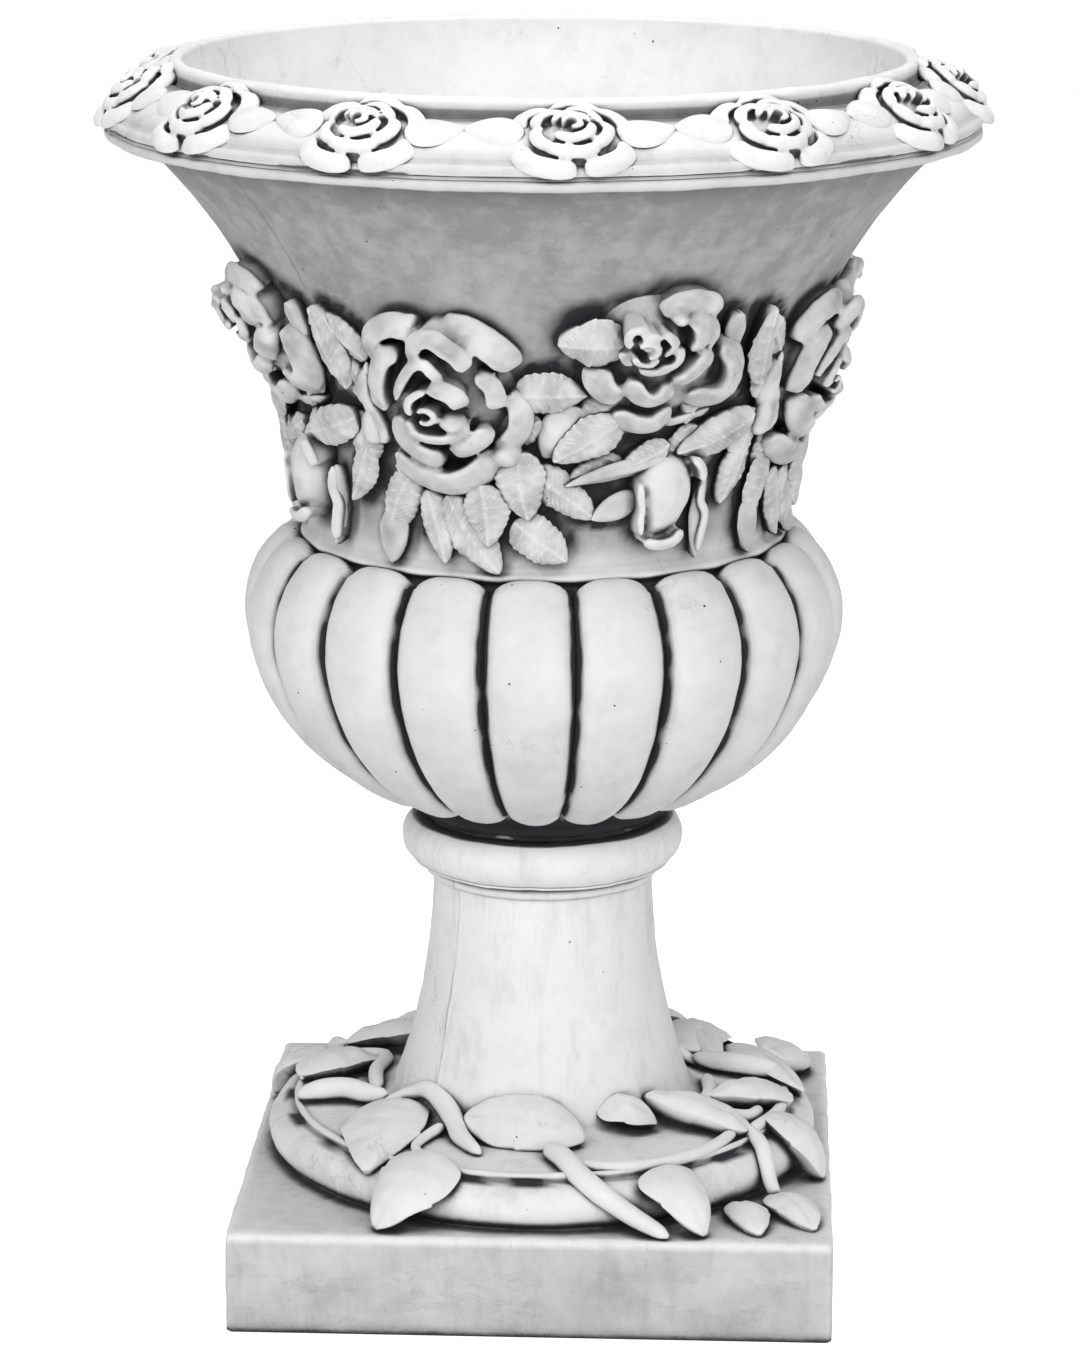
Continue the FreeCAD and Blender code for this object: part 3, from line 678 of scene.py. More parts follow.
# ---- Open roses ----------------------------------------------------------------------------------
# Four wide open roses of cast stone, one in each repeat of the garland, stuck on the wall as sprigs.
# Each petal is a thick rolled lip over a hollow, and the hollows hold the dark wash and painted shade.
garland_repeats = 4
open_rose_seat = (-18.65, 100.2)
petal_voxel = 1.45
petal_floor = -2.0
petal_droop = 0.28
petal_lip = 0.62
# across a petal from its inner foot to its outer one, as a share of half its width, and how far down
# from the crest, as a share of the lip; None is the petal's foot
petal_section = ((-0.5, None), (-0.98, 0.7), (-0.96, 0.14), (-0.72, 0.0), (-0.15, 0.1), (0.45, 0.3),
                 (0.95, 0.62), (1.2, 0.98), (1.14, 1.3), (0.7, 1.5), (0.2, None))
# each petal: crest as (degrees, distance) from the flower's middle, then width and height
open_rose_petals = (
    (((142, 48), (126, 57), (111, 59), (102, 56), (95, 54)), 13.2, 19),
    (((112, 41), (127, 42), (148, 36), (170, 32), (189, 30)), 12.0, 25),
    (((160, 50), (177, 49), (195, 45), (212, 46), (218, 53)), 12.6, 15),
    (((102, 38), (91, 51), (82, 55), (73, 50), (62, 45), (53, 38)), 10.1, 27),
    (((160, 20), (121, 25), (99, 34), (88, 37), (81, 31), (68, 25)), 6.3, 28),
    (((80, 52), (65, 56), (50, 55), (37, 54), (28, 51)), 16.4, 17),
    (((42, 37), (26, 39), (12, 37), (1, 35)), 10.1, 22),
    (((11, 46), (-5, 48), (-19, 49), (-31, 47), (-42, 44)), 13.2, 16),
    (((82, 20), (60, 21), (38, 22), (18, 18)), 10.1, 32),
    (((88, 17), (121, 14), (154, 11), (189, 9)), 4.8, 31),
    (((150, 5), (90, 5), (30, 5), (-30, 5), (-90, 5), (-140, 5)), 3.5, 33),
    (((-150, 14), (-124, 17), (-101, 18), (-72, 19), (-46, 21), (-20, 22)), 6.9, 30),
    (((-160, 22), (-132, 27), (-113, 31), (-95, 34), (-84, 35)), 15.1, 26),
    (((-73, 29), (-58, 31), (-37, 32), (-22, 31)), 11.3, 26),
    (((-128, 49), (-115, 50), (-100, 52), (-85, 54), (-70, 52), (-55, 47), (-46, 42)), 16.4, 19))
# each lump has its centre and radii; a bed has its centre, radii and height
open_rose_lumps = (((13, -6, 24), (7.5, 6.5, 9)), ((38, -34, 9), (9, 9, 10)))
open_rose_bed = ((0, 0), (48, 48), 15.0)


def through(rows, steps):
    """Smooth path through the rows, with so many steps in each stretch."""
    rows = np.asarray(rows, float)
    padded = np.vstack([2 * rows[0] - rows[1], rows, 2 * rows[-1] - rows[-2]])
    path = []
    for before, start, end, after in zip(padded, padded[1:], padded[2:], padded[3:]):
        for t in np.arange(steps) / steps:
            path.append(0.5 * (2 * start + (end - before) * t
                               + (2 * before - 5 * start + 4 * end - after) * t ** 2
                               + (3 * start - before - 3 * end + after) * t ** 3))
    return np.array(path + [rows[-1]])


def capped(points, stations, columns):
    """Closed shell over stations of looped columns, with a face at each end; its faces look outward."""
    quads = grid_faces(stations, columns, False)
    last = (stations - 1) * columns
    faces = quads.tolist() + [list(range(columns - 1, -1, -1)), list(range(last, last + columns))]
    centred = points - points.mean(axis=0)
    a, b, c, d = (centred[quads[:, i]] for i in range(4))
    volume = np.sum(np.cross(b - a, c - a) * a) + np.sum(np.cross(c - a, d - a) * a)
    return points, faces if volume > 0 else [face[::-1] for face in faces]


def petal(crest, width, height):
    """A petal: a rolled lip along its crest, steep on the inside and undercut on the outside."""
    turns, reach = np.radians([a for a, _ in crest]), np.array([d for _, d in crest], float)
    path = through(np.stack([reach * np.cos(turns), reach * np.sin(turns)], axis=1), 6)
    along = np.gradient(path, axis=0)
    along /= np.linalg.norm(along, axis=1)[:, None]
    side = np.stack([along[:, 1], -along[:, 0]], axis=1)
    side *= np.sign(np.sum(side * path))
    share = np.linspace(-1, 1, len(path))
    swell = np.maximum(1 - np.abs(share) ** 8, 0.12) ** 0.5
    crown = height - petal_droop * width * np.abs(share) ** 3
    lip = petal_lip * width
    shell = []
    for centre, out, full, top in zip(path, side, swell, crown):
        for across, drop in petal_section:
            low = petal_floor if drop is None else max(top - drop * lip, petal_floor + 1)
            shell.append((*(centre + out * across * full * width / 2), low))
    return capped(np.array(shell), len(path), len(petal_section))


def lump(centre, radii, rows=10, columns=16):
    """A closed round lump, such as a folded petal or a hip."""
    tilt, turn = np.meshgrid(np.linspace(-1.5, 1.5, rows), np.arange(columns) * 2 * math.pi / columns,
                             indexing="ij")
    shell = np.stack([np.cos(tilt) * np.cos(turn), np.cos(tilt) * np.sin(turn), np.sin(tilt)], axis=-1)
    return capped(shell.reshape(-1, 3) * radii + centre, rows, columns)


def bed(centre, radii, height):
    """Low dome that the petals of a flower stand on, sunk a little into the wall."""
    shares = (1.0, 1.0, 0.9, 0.75, 0.55, 0.3, 0.08)
    turn = np.arange(28) * 2 * math.pi / 28
    shell = [(centre[0] + radii[0] * s * math.cos(t), centre[1] + radii[1] * s * math.sin(t),
              -2.5 if i == 0 else height * (1 - s ** 2) - 0.5) for i, s in enumerate(shares) for t in turn]
    return capped(np.array(shell), len(shares), len(turn))


def joined(shells):
    """Points and faces of several shells together."""
    points, faces, count = [], [], 0
    for shell_points, shell_faces in shells:
        points.append(shell_points)
        faces += [[corner + count for corner in face] for face in shell_faces]
        count += len(shell_points)
    return np.concatenate(points), faces


def without_pockets(points, corners):
    """Outer skins only: a pocket inside them has a negative volume, and a stray speck next to none."""
    shell = np.arange(len(points))
    while True:
        lowest = shell.copy()
        for corner in range(3):
            np.minimum.at(lowest, corners[:, corner], shell[corners].min(axis=1))
        if (lowest == shell).all():
            break
        shell = lowest[lowest]
    a, b, c = (points[corners[:, i]] for i in range(3))
    volumes = np.bincount(shell[corners[:, 0]], np.sum(np.cross(a, b) * c, axis=1), len(points))
    kept = corners[volumes[shell[corners[:, 0]]] > 0.01 * volumes.max()]
    used = np.unique(kept)
    return points[used], np.searchsorted(used, kept).tolist()


def fused(shells, voxel, rounding, share=1.0):
    """One skin over all the shells, softened as in a worn mould, with a share of its faces kept."""
    rough = new_piece("rough", *joined(shells))
    skin = rough.modifiers.new("skin", "REMESH")
    skin.mode = "VOXEL"
    skin.voxel_size = voxel * MM
    soft = rough.modifiers.new("soft", "SMOOTH")
    soft.factor = 0.5
    soft.iterations = rounding
    thin = rough.modifiers.new("thin", "DECIMATE")
    thin.ratio = share
    rough.modifiers.new("cut", "TRIANGULATE")
    rough.data = bpy.data.meshes.new_from_object(rough.evaluated_get(bpy.context.evaluated_depsgraph_get()))
    points = points_of(rough)
    corners = np.array([tuple(face.vertices) for face in rough.data.polygons])
    bpy.data.objects.remove(rough)
    return without_pockets(points, corners)


def on_wall(points, azimuth, climb):
    """Bend points (level, up, out) round the flared wall about a seat, climb being along its curve."""
    level, up, out = np.asarray(points, float).T
    travelled = climb + up
    lean = np.maximum(travelled, 0) / flare_curve
    radius = wall_radius + flare_curve * (1 - np.cos(lean))
    height = flare_start + np.where(travelled > 0, flare_curve * np.sin(lean), travelled)
    turn = math.radians(azimuth) + level / radius
    reach = radius + out * np.cos(lean)
    return np.stack([reach * np.sin(turn), -reach * np.cos(turn), height - out * np.sin(lean)], axis=1)


def repeat_tree():
    """Node tree that turns copies of a mesh about the axis at equal steps and gives them a material."""
    tree = bpy.data.node_groups.new("repeat_about_axis", "GeometryNodeTree")
    for label, kind in (("Geometry", "Geometry"), ("Copies", "Int"), ("First Turn", "Float"),
                        ("Material", "Material")):
        tree.interface.new_socket(label, in_out="INPUT", socket_type="NodeSocket" + kind)
    tree.interface.new_socket("Geometry", in_out="OUTPUT", socket_type="NodeSocketGeometry")
    given = add_node(tree, "NodeGroupInput")
    line = add_node(tree, "GeometryNodeMeshLine", in_Offset=(0, 0, 0), in_Count=(given, "Copies"))
    number = add_node(tree, "GeometryNodeInputIndex"), 0
    step = calc(tree, "DIVIDE", 2 * math.pi, (given, "Copies"))
    turn = calc(tree, "MULTIPLY_ADD", number, step, (given, "First Turn"))
    spin = add_node(tree, "ShaderNodeCombineXYZ", in_Z=turn)
    copies = add_node(tree, "GeometryNodeInstanceOnPoints", in_Points=(line, 0),
                      in_Instance=(given, "Geometry"), in_Rotation=(spin, 0))
    real = add_node(tree, "GeometryNodeRealizeInstances", in_0=(copies, 0))
    coat = add_node(tree, "GeometryNodeSetMaterial", in_Geometry=(real, 0), in_Material=(given, "Material"))
    add_node(tree, "NodeGroupOutput", in_0=(coat, 0))
    return tree


repeat_about_axis = repeat_tree()
# The relief's paint lays dark wash and painted shade in its hollows.
relief_paint = cast_stone("relief_stone_paint", 0.78, 0.6, wash_and_shade_black, 0.026, 0.7, 0.26, stain=0.28)


def repeated(name, shape, copies, first_turn, nodes, paint=relief_paint, dulling=0.42):
    """Object with the shape repeated about the axis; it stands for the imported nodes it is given."""
    piece = new_piece(name, *shape)
    turning = piece.modifiers.new("repeat", "NODES")
    turning.node_group = repeat_about_axis
    chosen = {"Copies": copies, "First Turn": first_turn, "Material": paint}
    for socket in repeat_about_axis.interface.items_tree:
        if socket.in_out == "INPUT" and socket.name in chosen:
            turning[socket.identifier] = chosen[socket.name]
    turned = bpy.data.meshes.new_from_object(piece.evaluated_get(bpy.context.evaluated_depsgraph_get()))
    piece.modifiers.remove(turning)
    piece.data = turned
    store(piece, "grime", dulling * (1 + 0.5 * waver(points_of(piece), 26, 71)))
    for node in nodes:
        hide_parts(node)
    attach(piece, "root")


def numbered(stem, count):
    return ["%s_%d" % (stem, i + 1) for i in range(count)]


def dented(points, depth, size, seed):
    """Points moved in and out a little, where they stand clear of the wall, as if cut by hand."""
    clear = ramp(points[:, 2], 1.0, 5.0)
    return points + np.outer(clear * depth * waver(points, size, seed), (0, 0, 1.0))


def flower(petals, lumps, beds, voxel=petal_voxel, share=1.0):
    shells = [bed(*b) for b in beds] + [petal(*p) for p in petals] + [lump(c, r) for c, r in lumps]
    points, faces = fused(shells, voxel, 2, share)
    return dented(points, 0.22 * voxel, 8.0 * voxel, len(petals)), faces


rose_points, rose_faces = flower(open_rose_petals, open_rose_lumps, (open_rose_bed,), share=0.8)
repeated("open_roses", (on_wall(rose_points, *open_rose_seat), rose_faces), garland_repeats, 0.0,
         numbered("open_rose", garland_repeats))

# ---- Full roses ----------------------------------------------------------------------------------
# Four full roses, one in each repeat, stuck on as sprigs. A tight whorl of small petals sits high at
# the left, and broad cupped petals hang below it and to its right over deep shaded hollows.
full_rose_seat = (19.76, 150.7)
full_rose_petals = (
    (((56, 19), (51, 31), (41, 40), (28, 47), (17, 46)), 11.0, 19),
    (((35, 31), (20, 34), (0, 34), (-17, 31)), 11.0, 25),
    (((20, 41), (5, 44), (-12, 44)), 6.1, 20),
    (((187, 9), (143, 13), (121, 15), (90, 14)), 4.4, 26),
    (((46, 14), (7, 16), (-35, 14)), 5.6, 28),
    (((-8, 21), (-36, 24), (-60, 21)), 6.1, 27),
    (((-92, 19), (-70, 22), (-47, 26)), 6.1, 26),
    (((150, 6), (90, 7), (30, 6), (-30, 6), (-80, 6)), 3.4, 31),
    (((-140, 8), (-110, 11), (-75, 12), (-45, 10)), 3.9, 30),
    (((115, 10), (80, 11), (45, 10)), 3.7, 29),
    (((-142, 15), (-126, 15), (-104, 20)), 5.5, 20),
    (((-132, 31), (-121, 38), (-107, 43), (-96, 43)), 15.9, 20),
    (((-95, 29), (-88, 39), (-79, 44), (-68, 43), (-60, 38)), 11.0, 25),
    (((-57, 40), (-42, 40), (-27, 41), (-14, 43)), 13.4, 25),
    (((-54, 56), (-46, 67), (-38, 73), (-29, 72), (-19, 65), (-12, 54)), 15.9, 21),
    (((-99, 57), (-88, 63), (-77, 66), (-65, 60)), 13.4, 18),
    (((-70, 74), (-60, 76), (-48, 84)), 7.3, 9))
full_rose_lumps = (((19, 17, 18), (5, 5, 7)), ((1, 1, 22), (4, 4, 7)))
full_rose_beds = (((7, -5), (30, 26), 21.0), ((22, -34), (46, 32), 14.0))

rose_points, rose_faces = flower(full_rose_petals, full_rose_lumps, full_rose_beds)
repeated("full_roses", (on_wall(rose_points, *full_rose_seat), rose_faces), garland_repeats, 0.0,
         numbered("full_rose", garland_repeats))

# ---- Rose buds -----------------------------------------------------------------------------------
# A smooth closed bud hangs under each full rose, stuck on as a sprig. Its outer petal is wrapped
# round from the left and turned back at the mouth, and a narrow sepal stands free on the right.
rose_bud_seat = (28.9, 32.5)
bud_outline = ((-17, 16), (-9, 26), (0, 31), (10, 30), (17, 24), (20, 10), (19, -1), (15, -9), (10, -18),
               (1, -25), (-11, -27), (-14, -13), (-17, 0))
bud_height = 23.0
bud_folds = (
    (((137, 22), (160, 17), (188, 15), (216, 19), (235, 25)), 3.6, 21),
    (((-118, 27), (-100, 27), (-80, 25), (-62, 21)), 7.0, 23),
    (((63, 33), (48, 30), (30, 26)), 5.5, 22))
bud_sepals = ((((22, 31), (-6, 27), (-22, 33), (-42, 38), (-54, 45)), 6.0, 13),
              (((158, 46), (148, 37), (133, 34), (118, 37)), 4.0, 9))


def cushion(outline, height, rows=8):
    """Closed swelling form over an outline: full at its foot and crowned at its top."""
    edge = through(list(outline) + [outline[0]], 3)[:-1]
    middle = edge.mean(axis=0)
    shell = [(*(middle + (point - middle) * max(1 - share ** 2.8, 0.0025) ** 0.5), height * share - 1.5)
             for share in np.linspace(0, 1, rows) for point in edge]
    return capped(np.array(shell), rows, len(edge))


bud_shape = fused([cushion(bud_outline, bud_height)] + [petal(*p) for p in bud_folds + bud_sepals],
                  petal_voxel, 3)
repeated("rose_buds", (on_wall(bud_shape[0], *rose_bud_seat), bud_shape[1]), garland_repeats, 0.0,
         numbered("rose_bud", garland_repeats), dulling=0.12)

# ---- Garland leaves ------------------------------------------------------------------------------
# The foliage round the flowers, stuck on as sprigs: toothed leaves with a raised midrib and side
# veins, standing on narrow roots so that their edges are undercut, with smooth hips and sepals.
leaf_stations = 34
leaf_thickness = 4.2
# each leaf: azimuth in degrees, height, length, width, turn in degrees, lift off the wall, teeth
garland_leaf_table = (
    (-30.2, 522.7, 44, 25, -113, 3, 8), (-21.4, 509.8, 48, 22, -78, 3, 9),
    (-12.9, 506.3, 58, 30, -58, 4, 10), (-9.9, 520.2, 41, 27, -85, 8, 9),
    (-1.5, 540, 45, 29, -84, 8, 9), (6.8, 533, 52, 25, -40, 3, 9), (2, 502.6, 40, 29, -40, 3, 8),
    (4.1, 597.7, 43, 31, 0, 3, 8), (6.7, 572, 40, 29, -124, 1, 0), (11.5, 635, 40, 37, 178, 9, 4),
    (11.8, 569, 47, 29, -145, 7, 8), (24.8, 556.5, 31, 18, -154, 6, 6),
    (18.9, 546.5, 64, 10, -167, 7, 0), (18.5, 523.7, 31, 17, -153, 5, 0),
    (41.5, 567, 58, 27, -160, 8, 6), (48.8, 538, 43, 21, -115, 4, 8), (49, 622.6, 58, 21, 100, 8, 5),
    (40.3, 633.5, 29, 15, -80, 5, 0), (39.5, 512.9, 53, 10, -95, 4, 0),
    (-38.5, 560, 38, 27, -100, 3, 8), (-38, 628, 40, 22, 130, 3, 7), (33, 556, 40, 22, -120, 3, 8),
    (-3, 572, 34, 24, -150, 1, 7), (14.5, 547, 34, 20, -165, 2, 7), (53, 600, 40, 20, 110, 4, 7),
    (-33, 500, 36, 20, -95, 3, 0), (15, 590, 38, 26, -150, 1, 6), (-28, 543, 36, 26, -100, 1, 6),
    (36, 590, 36, 24, -110, 2, 6))
hip_path = ((3, 38, 8), (1, 22, 9), (0, 8, 9), (-1, -4, 9), (-2, -18, 7))
hip_radii = (2.6, 2.8, 3.4, 6.5, 7.5)
hip_seat = (55.5, 84.0)


def leaf(length, width, lift, teeth, root=-2.5, fullness=0.74, thick=leaf_thickness, veining=1.0, seed=0):
    """Leaf from base to tip: veined crown, toothed edge, and an undercut down to a narrow root."""
    along = np.linspace(0, 1, leaf_stations)
    half = width / 2 * np.maximum(np.sin(math.pi * along ** fullness), 0.02) ** 0.6
    draw = np.random.default_rng(100 + seed)
    spacing, slant, start = draw.uniform(6.0, 8.0), draw.uniform(0.55, 0.85), draw.uniform(0, 1)
    sway_by = draw.uniform(-0.05, 0.05) * length
    if teeth:
        half = half * (1 - 0.09 * ((along * teeth) % 1.0)) * (1 + 0.05 * np.sin(11 * along + seed))
    across = np.sin(np.linspace(-1, 1, 19) * math.pi / 2)
    shell = []
    for t, reach in zip(along, half):
        y = across * reach
        crown = thick + lift + 0.11 * width * math.sin(math.pi * t) ** 0.6 * (1 - across ** 2)
        edge = thick * 0.3 * np.abs(across) ** 6
        if teeth:
            rib = 1.2 * veining * np.exp(-(y / 1.3) ** 2)
            row = (t * length - slant * np.abs(y)) / spacing + start + 0.16 * np.sin(y * 0.7 + seed)
            off_rib = np.clip(np.abs(y) / 2, 0, 1)
            veins = 0.85 * veining * np.maximum(np.cos(2 * math.pi * row), 0) ** 3 * off_rib
            crown = crown + np.maximum(rib, veins * (1 - 0.5 * across ** 2)) - 0.6
        y = y + sway_by * math.sin(math.pi * t)
        shell += [((t - 0.5) * length, a, b) for a, b in zip(y, crown - edge)]
        shell += [((t - 0.5) * length, reach * 0.93, lift + thick * 0.25),
                  ((t - 0.5) * length * 0.85, reach * 0.5, root),
                  ((t - 0.5) * length * 0.85, -reach * 0.5, root),
                  ((t - 0.5) * length, -reach * 0.93, lift + thick * 0.25)]
    return capped(np.array(shell), leaf_stations, len(across) + 4)


def swung(points, degrees):
    """Points turned in the plane of the surface, from level towards upright."""
    turn = math.radians(degrees)
    level, up, out = points.T
    return np.stack([level * math.cos(turn) - up * math.sin(turn),
                     level * math.sin(turn) + up * math.cos(turn), out], axis=1)


def tube(path, radii, steps=5, sides=12):
    """Round stem through the points, of the radius given at each."""
    rows = through(np.column_stack([path, radii]), steps)
    centre, size = rows[:, :3], rows[:, 3]
    along = np.gradient(centre, axis=0)
    along /= np.linalg.norm(along, axis=1)[:, None]
    side = np.cross(along, (0.03, 0.02, 1.0))
    side /= np.linalg.norm(side, axis=1)[:, None]
    crown = np.cross(side, along)
    turn = np.arange(sides) * 2 * math.pi / sides
    share = np.linspace(-1, 1, len(rows))
    size = size * np.maximum(1 - np.abs(share) ** 14, 0.1) ** 0.5
    shell = (centre[:, None] + size[:, None, None] * (side[:, None] * np.cos(turn)[None, :, None]
                                                      + crown[:, None] * np.sin(turn)[None, :, None]))
    return capped(shell.reshape(-1, 3), len(rows), sides)


def climb_of(height):
    """Distance up the curve of the wall, from the foot of the flare, to a height."""
    rise = height - flare_start
    return flare_curve * math.asin(rise / flare_curve) if rise > 0 else rise


garland_shells = []
for number, row in enumerate(garland_leaf_table):
    leaf_azimuth, leaf_height, leaf_length, leaf_width, leaf_turn, leaf_lift, leaf_teeth = row
    blade, blade_faces = leaf(leaf_length, leaf_width, leaf_lift, leaf_teeth, seed=number)
    blade = dented(blade, 0.4, 13.0, 80 + number)
    blade = on_wall(swung(blade, leaf_turn), leaf_azimuth, climb_of(leaf_height))
    garland_shells.append((blade, blade_faces))
hip, hip_faces = tube(hip_path, hip_radii)
garland_shells.append((on_wall(hip, *hip_seat), hip_faces))
repeated("garland_foliage", joined(garland_shells), garland_repeats, 0.0,
         numbered("garland_leaves", garland_repeats))

# Painted shadow on the wall round the relief, added to the stored wash and shade.
halo_reach = 9.0
halos = [(*open_rose_seat, 110, 104, 0), (25.0, 130.0, 118, 104, 0), (*rose_bud_seat, 44, 62, 0)]
halos += [(row[0], climb_of(row[1]), row[2], row[3], row[4]) for row in garland_leaf_table]
bowl_climb = np.array([climb_of(min(z, flare_start + flare_height)) for z in bowl_z])
bowl_azimuth = np.degrees(np.arctan2(bowl_points[:, 0], -bowl_points[:, 1]))
# Each relief piece casts a painted shadow on the wall round it.
shade = np.zeros(len(bowl_points))
for halo_azimuth, halo_climb, halo_long, halo_wide, halo_turn in halos:
    aside = np.radians((bowl_azimuth - halo_azimuth + 45) % 90 - 45) * bowl_r
    lying = swung(np.stack([aside, bowl_climb - halo_climb, 0 * aside], axis=1), -halo_turn)
    spread = np.hypot(lying[:, 0] / (halo_long / 2 + halo_reach), lying[:, 1] / (halo_wide / 2 + halo_reach))
    shade = np.maximum(shade, ramp(spread, 1.0, 0.72))
kept_wash_and_shade = bowl.data.attributes["wash"].data
wash_and_shade_before = np.zeros(len(bowl_points))
kept_wash_and_shade.foreach_get("value", wash_and_shade_before)
kept_wash_and_shade.foreach_set("value", np.clip(wash_and_shade_before + on_the_wall * shade
                                       * (0.68 + 0.18 * waver(bowl_points, 14, 36)), 0, 1))

# ---- Rim roses -----------------------------------------------------------------------------------
# Thirteen small roses stuck on the sloping bed of the rim. Each has a tight whorl, a ring of inner
# petals and a ring of broad outer ones that reach over the bed to the lip.
rim_rose_count = 13
rim_rose_first = math.radians(6.1)
rim_bed_low = (268.8, 746.8)
rim_bed_high = (236.5, 768.2)
rim_rose_share = 0.5
rim_rose_petals = (
    (((168, 29), (150, 33), (128, 31), (112, 27)), 10.2, 9),
    (((112, 29), (92, 30), (70, 30), (52, 29)), 9.0, 11),
    (((62, 31), (40, 33), (18, 33), (-4, 31)), 10.2, 9),
    (((-10, 31), (-34, 34), (-58, 33), (-78, 30)), 11.5, 9),
    (((-86, 30), (-108, 33), (-134, 34), (-162, 31)), 11.5, 9),
    (((172, 20), (150, 21), (126, 19), (100, 18)), 7.0, 15),
    (((100, 19), (74, 20), (48, 19), (22, 18)), 7.0, 15),
    (((26, 20), (-2, 21), (-30, 20), (-52, 19)), 7.0, 14),
    (((-46, 21), (-78, 22), (-106, 21), (-128, 20)), 7.7, 14),
    (((-122, 20), (-146, 21), (-168, 20), (-188, 18)), 7.0, 14),
    (((160, 11), (110, 12), (60, 11), (20, 11)), 5.1, 18),
    (((10, 12), (-40, 12), (-90, 13), (-140, 12)), 5.6, 18),
    (((180, 5), (110, 5.4), (40, 5), (-30, 5.2), (-90, 5)), 3.6, 20))
rim_rose_bed = ((0, 0), (29, 27), 11.0)
rim_rose_scale = (1.0, 0.85, 0.86)
rim_rose_voxel = 1.15
# Its dark colour gives the wash and the painted shade in the hollows of the rim's relief.
rim_paint = cast_stone("rim_relief_paint", 0.82, 0.68, (0.06, 0.06, 0.062), 0.02, 0.58, 0.18, stain=0.22)


def on_bed(points, degrees, share):
    """Bend points (level, up the slope, out) round the sloping bed of the rim."""
    level, up, out = np.asarray(points, float).T
    run_in = rim_bed_low[0] - rim_bed_high[0]
    rise = rim_bed_high[1] - rim_bed_low[1]
    slope = math.atan2(rise, run_in)
    radius = rim_bed_low[0] - run_in * share - up * math.cos(slope) + out * math.sin(slope)
    height = rim_bed_low[1] + rise * share + up * math.sin(slope) + out * math.cos(slope)
    turn = math.radians(degrees) + level / (rim_bed_low[0] - run_in * share)
    return np.stack([radius * np.sin(turn), -radius * np.cos(turn), height], axis=1)


rose_points, rose_faces = flower(rim_rose_petals, (), (rim_rose_bed,), rim_rose_voxel, 0.46)
repeated("rim_roses", (on_bed(rose_points * rim_rose_scale, 0.0, rim_rose_share), rose_faces),
         rim_rose_count, rim_rose_first, numbered("rim_rose", rim_rose_count), rim_paint, 0.1)

# ---- Rim leaves ----------------------------------------------------------------------------------
# Two thick smooth leaves lie tip to tip between each pair of rim roses, stuck on the same bed just
# under the ledge of the mouth.
rim_leaf_length = 35.0
rim_leaf_width = 24.0
rim_leaf_share = 0.56
rim_leaf_spread = 3.95

rim_pair = []
for hand in (-1, 1):
    blade, blade_faces = leaf(rim_leaf_length, rim_leaf_width, 1.5, 0, thick=4.6)
    blade = swung(blade, 174 if hand > 0 else 4)
    azimuth = 180.0 / rim_rose_count + hand * rim_leaf_spread
    rim_pair.append((on_bed(blade, azimuth, rim_leaf_share), blade_faces))
repeated("rim_leaves", joined(rim_pair), rim_rose_count, rim_rose_first,
         numbered("rim_leaves", rim_rose_count), rim_paint, 0.1)

# ---- Ivy vines -----------------------------------------------------------------------------------
# Stems of ivy creep over the saucer, the ring foot and the plinth, stuck on as rolls of soft stone.
# They are given by radius, azimuth and height, and repeat twice round the foot.
ivy_repeats = 2
# Colour of the dark wash and the painted shade in the ivy's hollows.
ivy_wash_and_shade = (0.05, 0.05, 0.052)
# each stem: its points, then its own radius at each of them
vine_table = (
    (((162, -79, 102), (147, -78, 106), (131, -76, 108), (119, -71, 107), (108, -66, 108)),
     (4, 7, 7, 6.5, 4)),
    (((112, -66, 102), (97, -58, 112), (92, -49, 117), (97, -37, 113), (108, -28, 106), (119, -23, 103),
      (137, -14, 101)), (4, 5, 6.5, 7, 6.5, 6, 4)),
    (((108, -33, 104), (128, -33, 102), (145, -31, 101), (158, -24, 99)), (4, 3.5, 3, 3)),
    (((127, 4, 103), (146, 8, 103), (164, 11, 97), (179, 15, 89), (188, 21, 75), (206, 25, 68)),
     (6, 7, 7.5, 7, 6, 4.5)),
    (((149, 58, 102), (158, 60, 99), (172, 57, 96), (180, 55, 88), (186, 54, 77), (191, 54, 68)),
     (4, 5, 5, 5, 4.6, 4)),
    (((158, 60, 100), (160, 74, 100), (160, 87, 100)), (4, 4, 3.5)),
    (((150, 10, 100), (158, 22, 98.5), (161, 34, 99), (158, 46, 100), (152, 57, 101)), (3.6, 4, 4, 4, 4)),
    (((109, -81, 103), (112, -98, 104), (118, -114, 103), (145, -112, 101), (149, -105, 101)),
     (5, 5, 5, 4.5, 4)))


def on_foot(radius, degrees, height):
    """Point of the foot in the order of the ivy tables, as x, y and z."""
    turn = math.radians(degrees)
    return np.array((radius * math.sin(turn), -radius * math.cos(turn), height))


vines = [tube([on_foot(*place) for place in route], radii) for route, radii in vine_table]
ivy_stem_paint = cast_stone("ivy_stem_paint", 0.8, 0.7, ivy_wash_and_shade, 0.018, 0.5, 0.12, stain=0.16)
repeated("ivy_stems", joined(vines), ivy_repeats, 0.0, numbered("ivy_vines", ivy_repeats),
         ivy_stem_paint, 0.0)

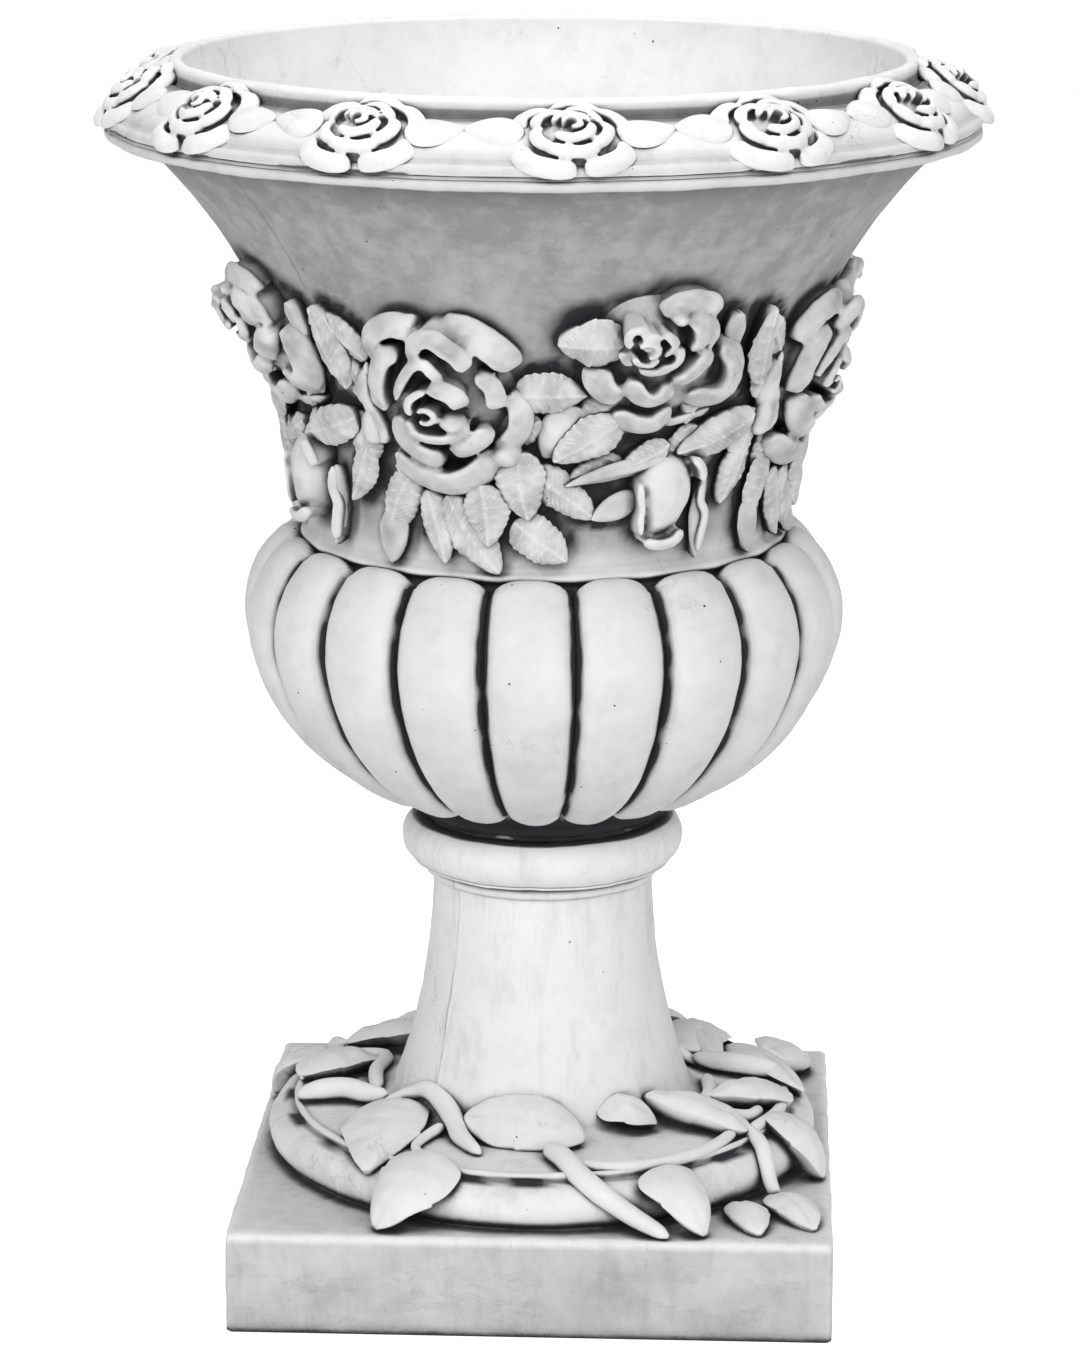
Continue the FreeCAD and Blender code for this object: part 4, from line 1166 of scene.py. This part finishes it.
# ---- Ivy leaves ----------------------------------------------------------------------------------
# Thick heart-shaped leaves lie over the stems, folded along the midrib and draped down the ring foot
# to the plinth, stuck on as sprigs. The front set comes again behind; three more stand at the back
# right only.
# each leaf: its base and its tip by radius, azimuth and height, its width, rise and fullness
ivy_leaf_table = (
    ((104, -57, 107), (177, -36, 92), 54, 5, 0.66), ((158, -19, 101), (203, -28, 68), 52, 8, 0.66),
    ((103, -25, 110), (119, 15, 105), 46, 5, 0.9), ((168, 27, 97), (212, 31, 68), 40, 7, 0.6),
    ((90, 26, 114), (112, 43, 105), 27, 7, 0.7), ((158, 59, 101), (96, 47, 116), 34, 5, 0.8),
    ((164, 84, 101), (116, 74, 106), 38, 5, 0.7), ((158, 70, 102), (198, 68, 68), 36, 8, 0.7),
    ((184, 45, 68), (228, 39, 66), 28, 3, 0.7), ((192, 53, 68), (243, 47, 66), 30, 4, 0.7))
ivy_back_table = (
    ((159, 146, 101), (125, 112, 105), 32, 5, 0.7), ((150, 124, 101), (171, 93, 97), 28, 5, 0.7),
    ((170, 120, 97), (232, 131, 66), 34, 5, 0.7))


def draped(shape, base, tip, crown):
    """Leaf laid between two points of the foot, its middle raised to clear what lies under it."""
    start, end = on_foot(*base), on_foot(*tip)
    span = end - start
    length = np.linalg.norm(span)
    along = span / length
    middle = (start + end) / 2
    reach = math.hypot(middle[0], middle[1])
    steep = 0.7 * ramp(reach, 124, 104) + 0.8 * ramp(reach, 166, 184) * ramp(middle[2], 70, 76)
    outward = middle / reach * (steep, steep, 0) + (0, 0, 1.0)
    side = np.cross(outward, along)
    side /= np.linalg.norm(side)
    normal = np.cross(along, side)
    x, y, z = shape.T
    rise = z + crown * (1 - (2 * x / length) ** 2)
    fold = -0.10 * np.abs(y)
    return middle + x[:, None] * along + y[:, None] * side + (rise + fold)[:, None] * normal


def ivy_shells(table):
    """Leaves of a table, each from its base to its tip, creased along the midrib."""
    shells = []
    for seed, (base, tip, width, crown, fullness) in enumerate(table):
        length = np.linalg.norm(on_foot(*tip) - on_foot(*base)) * 1.05
        blade, faces = leaf(length, width, 0.5, 2, root=-9.0, fullness=fullness, thick=3.4,
                            veining=0.45, seed=40 + seed)
        middle_fold = -1.5 * np.exp(-(blade[:, 1] / 2.4) ** 2) * ramp(blade[:, 2], 1.0, 3.0)
        blade = dented(blade, 0.6, 21.0, 90 + seed) + np.outer(middle_fold, (0, 0, 1.0))
        shells.append((draped(blade, base, tip, crown), faces))
    return joined(shells)


ivy_paint = cast_stone("ivy_relief_paint", 0.8, 0.7, ivy_wash_and_shade, 0.02, 0.52, 0.14, stain=0.16)
repeated("ivy_foliage", ivy_shells(ivy_leaf_table), ivy_repeats, 0.0,
         numbered("ivy_leaves", ivy_repeats), ivy_paint, 0.03)
repeated("ivy_back_foliage", ivy_shells(ivy_back_table), 1, 0.0, (), ivy_paint, 0.03)
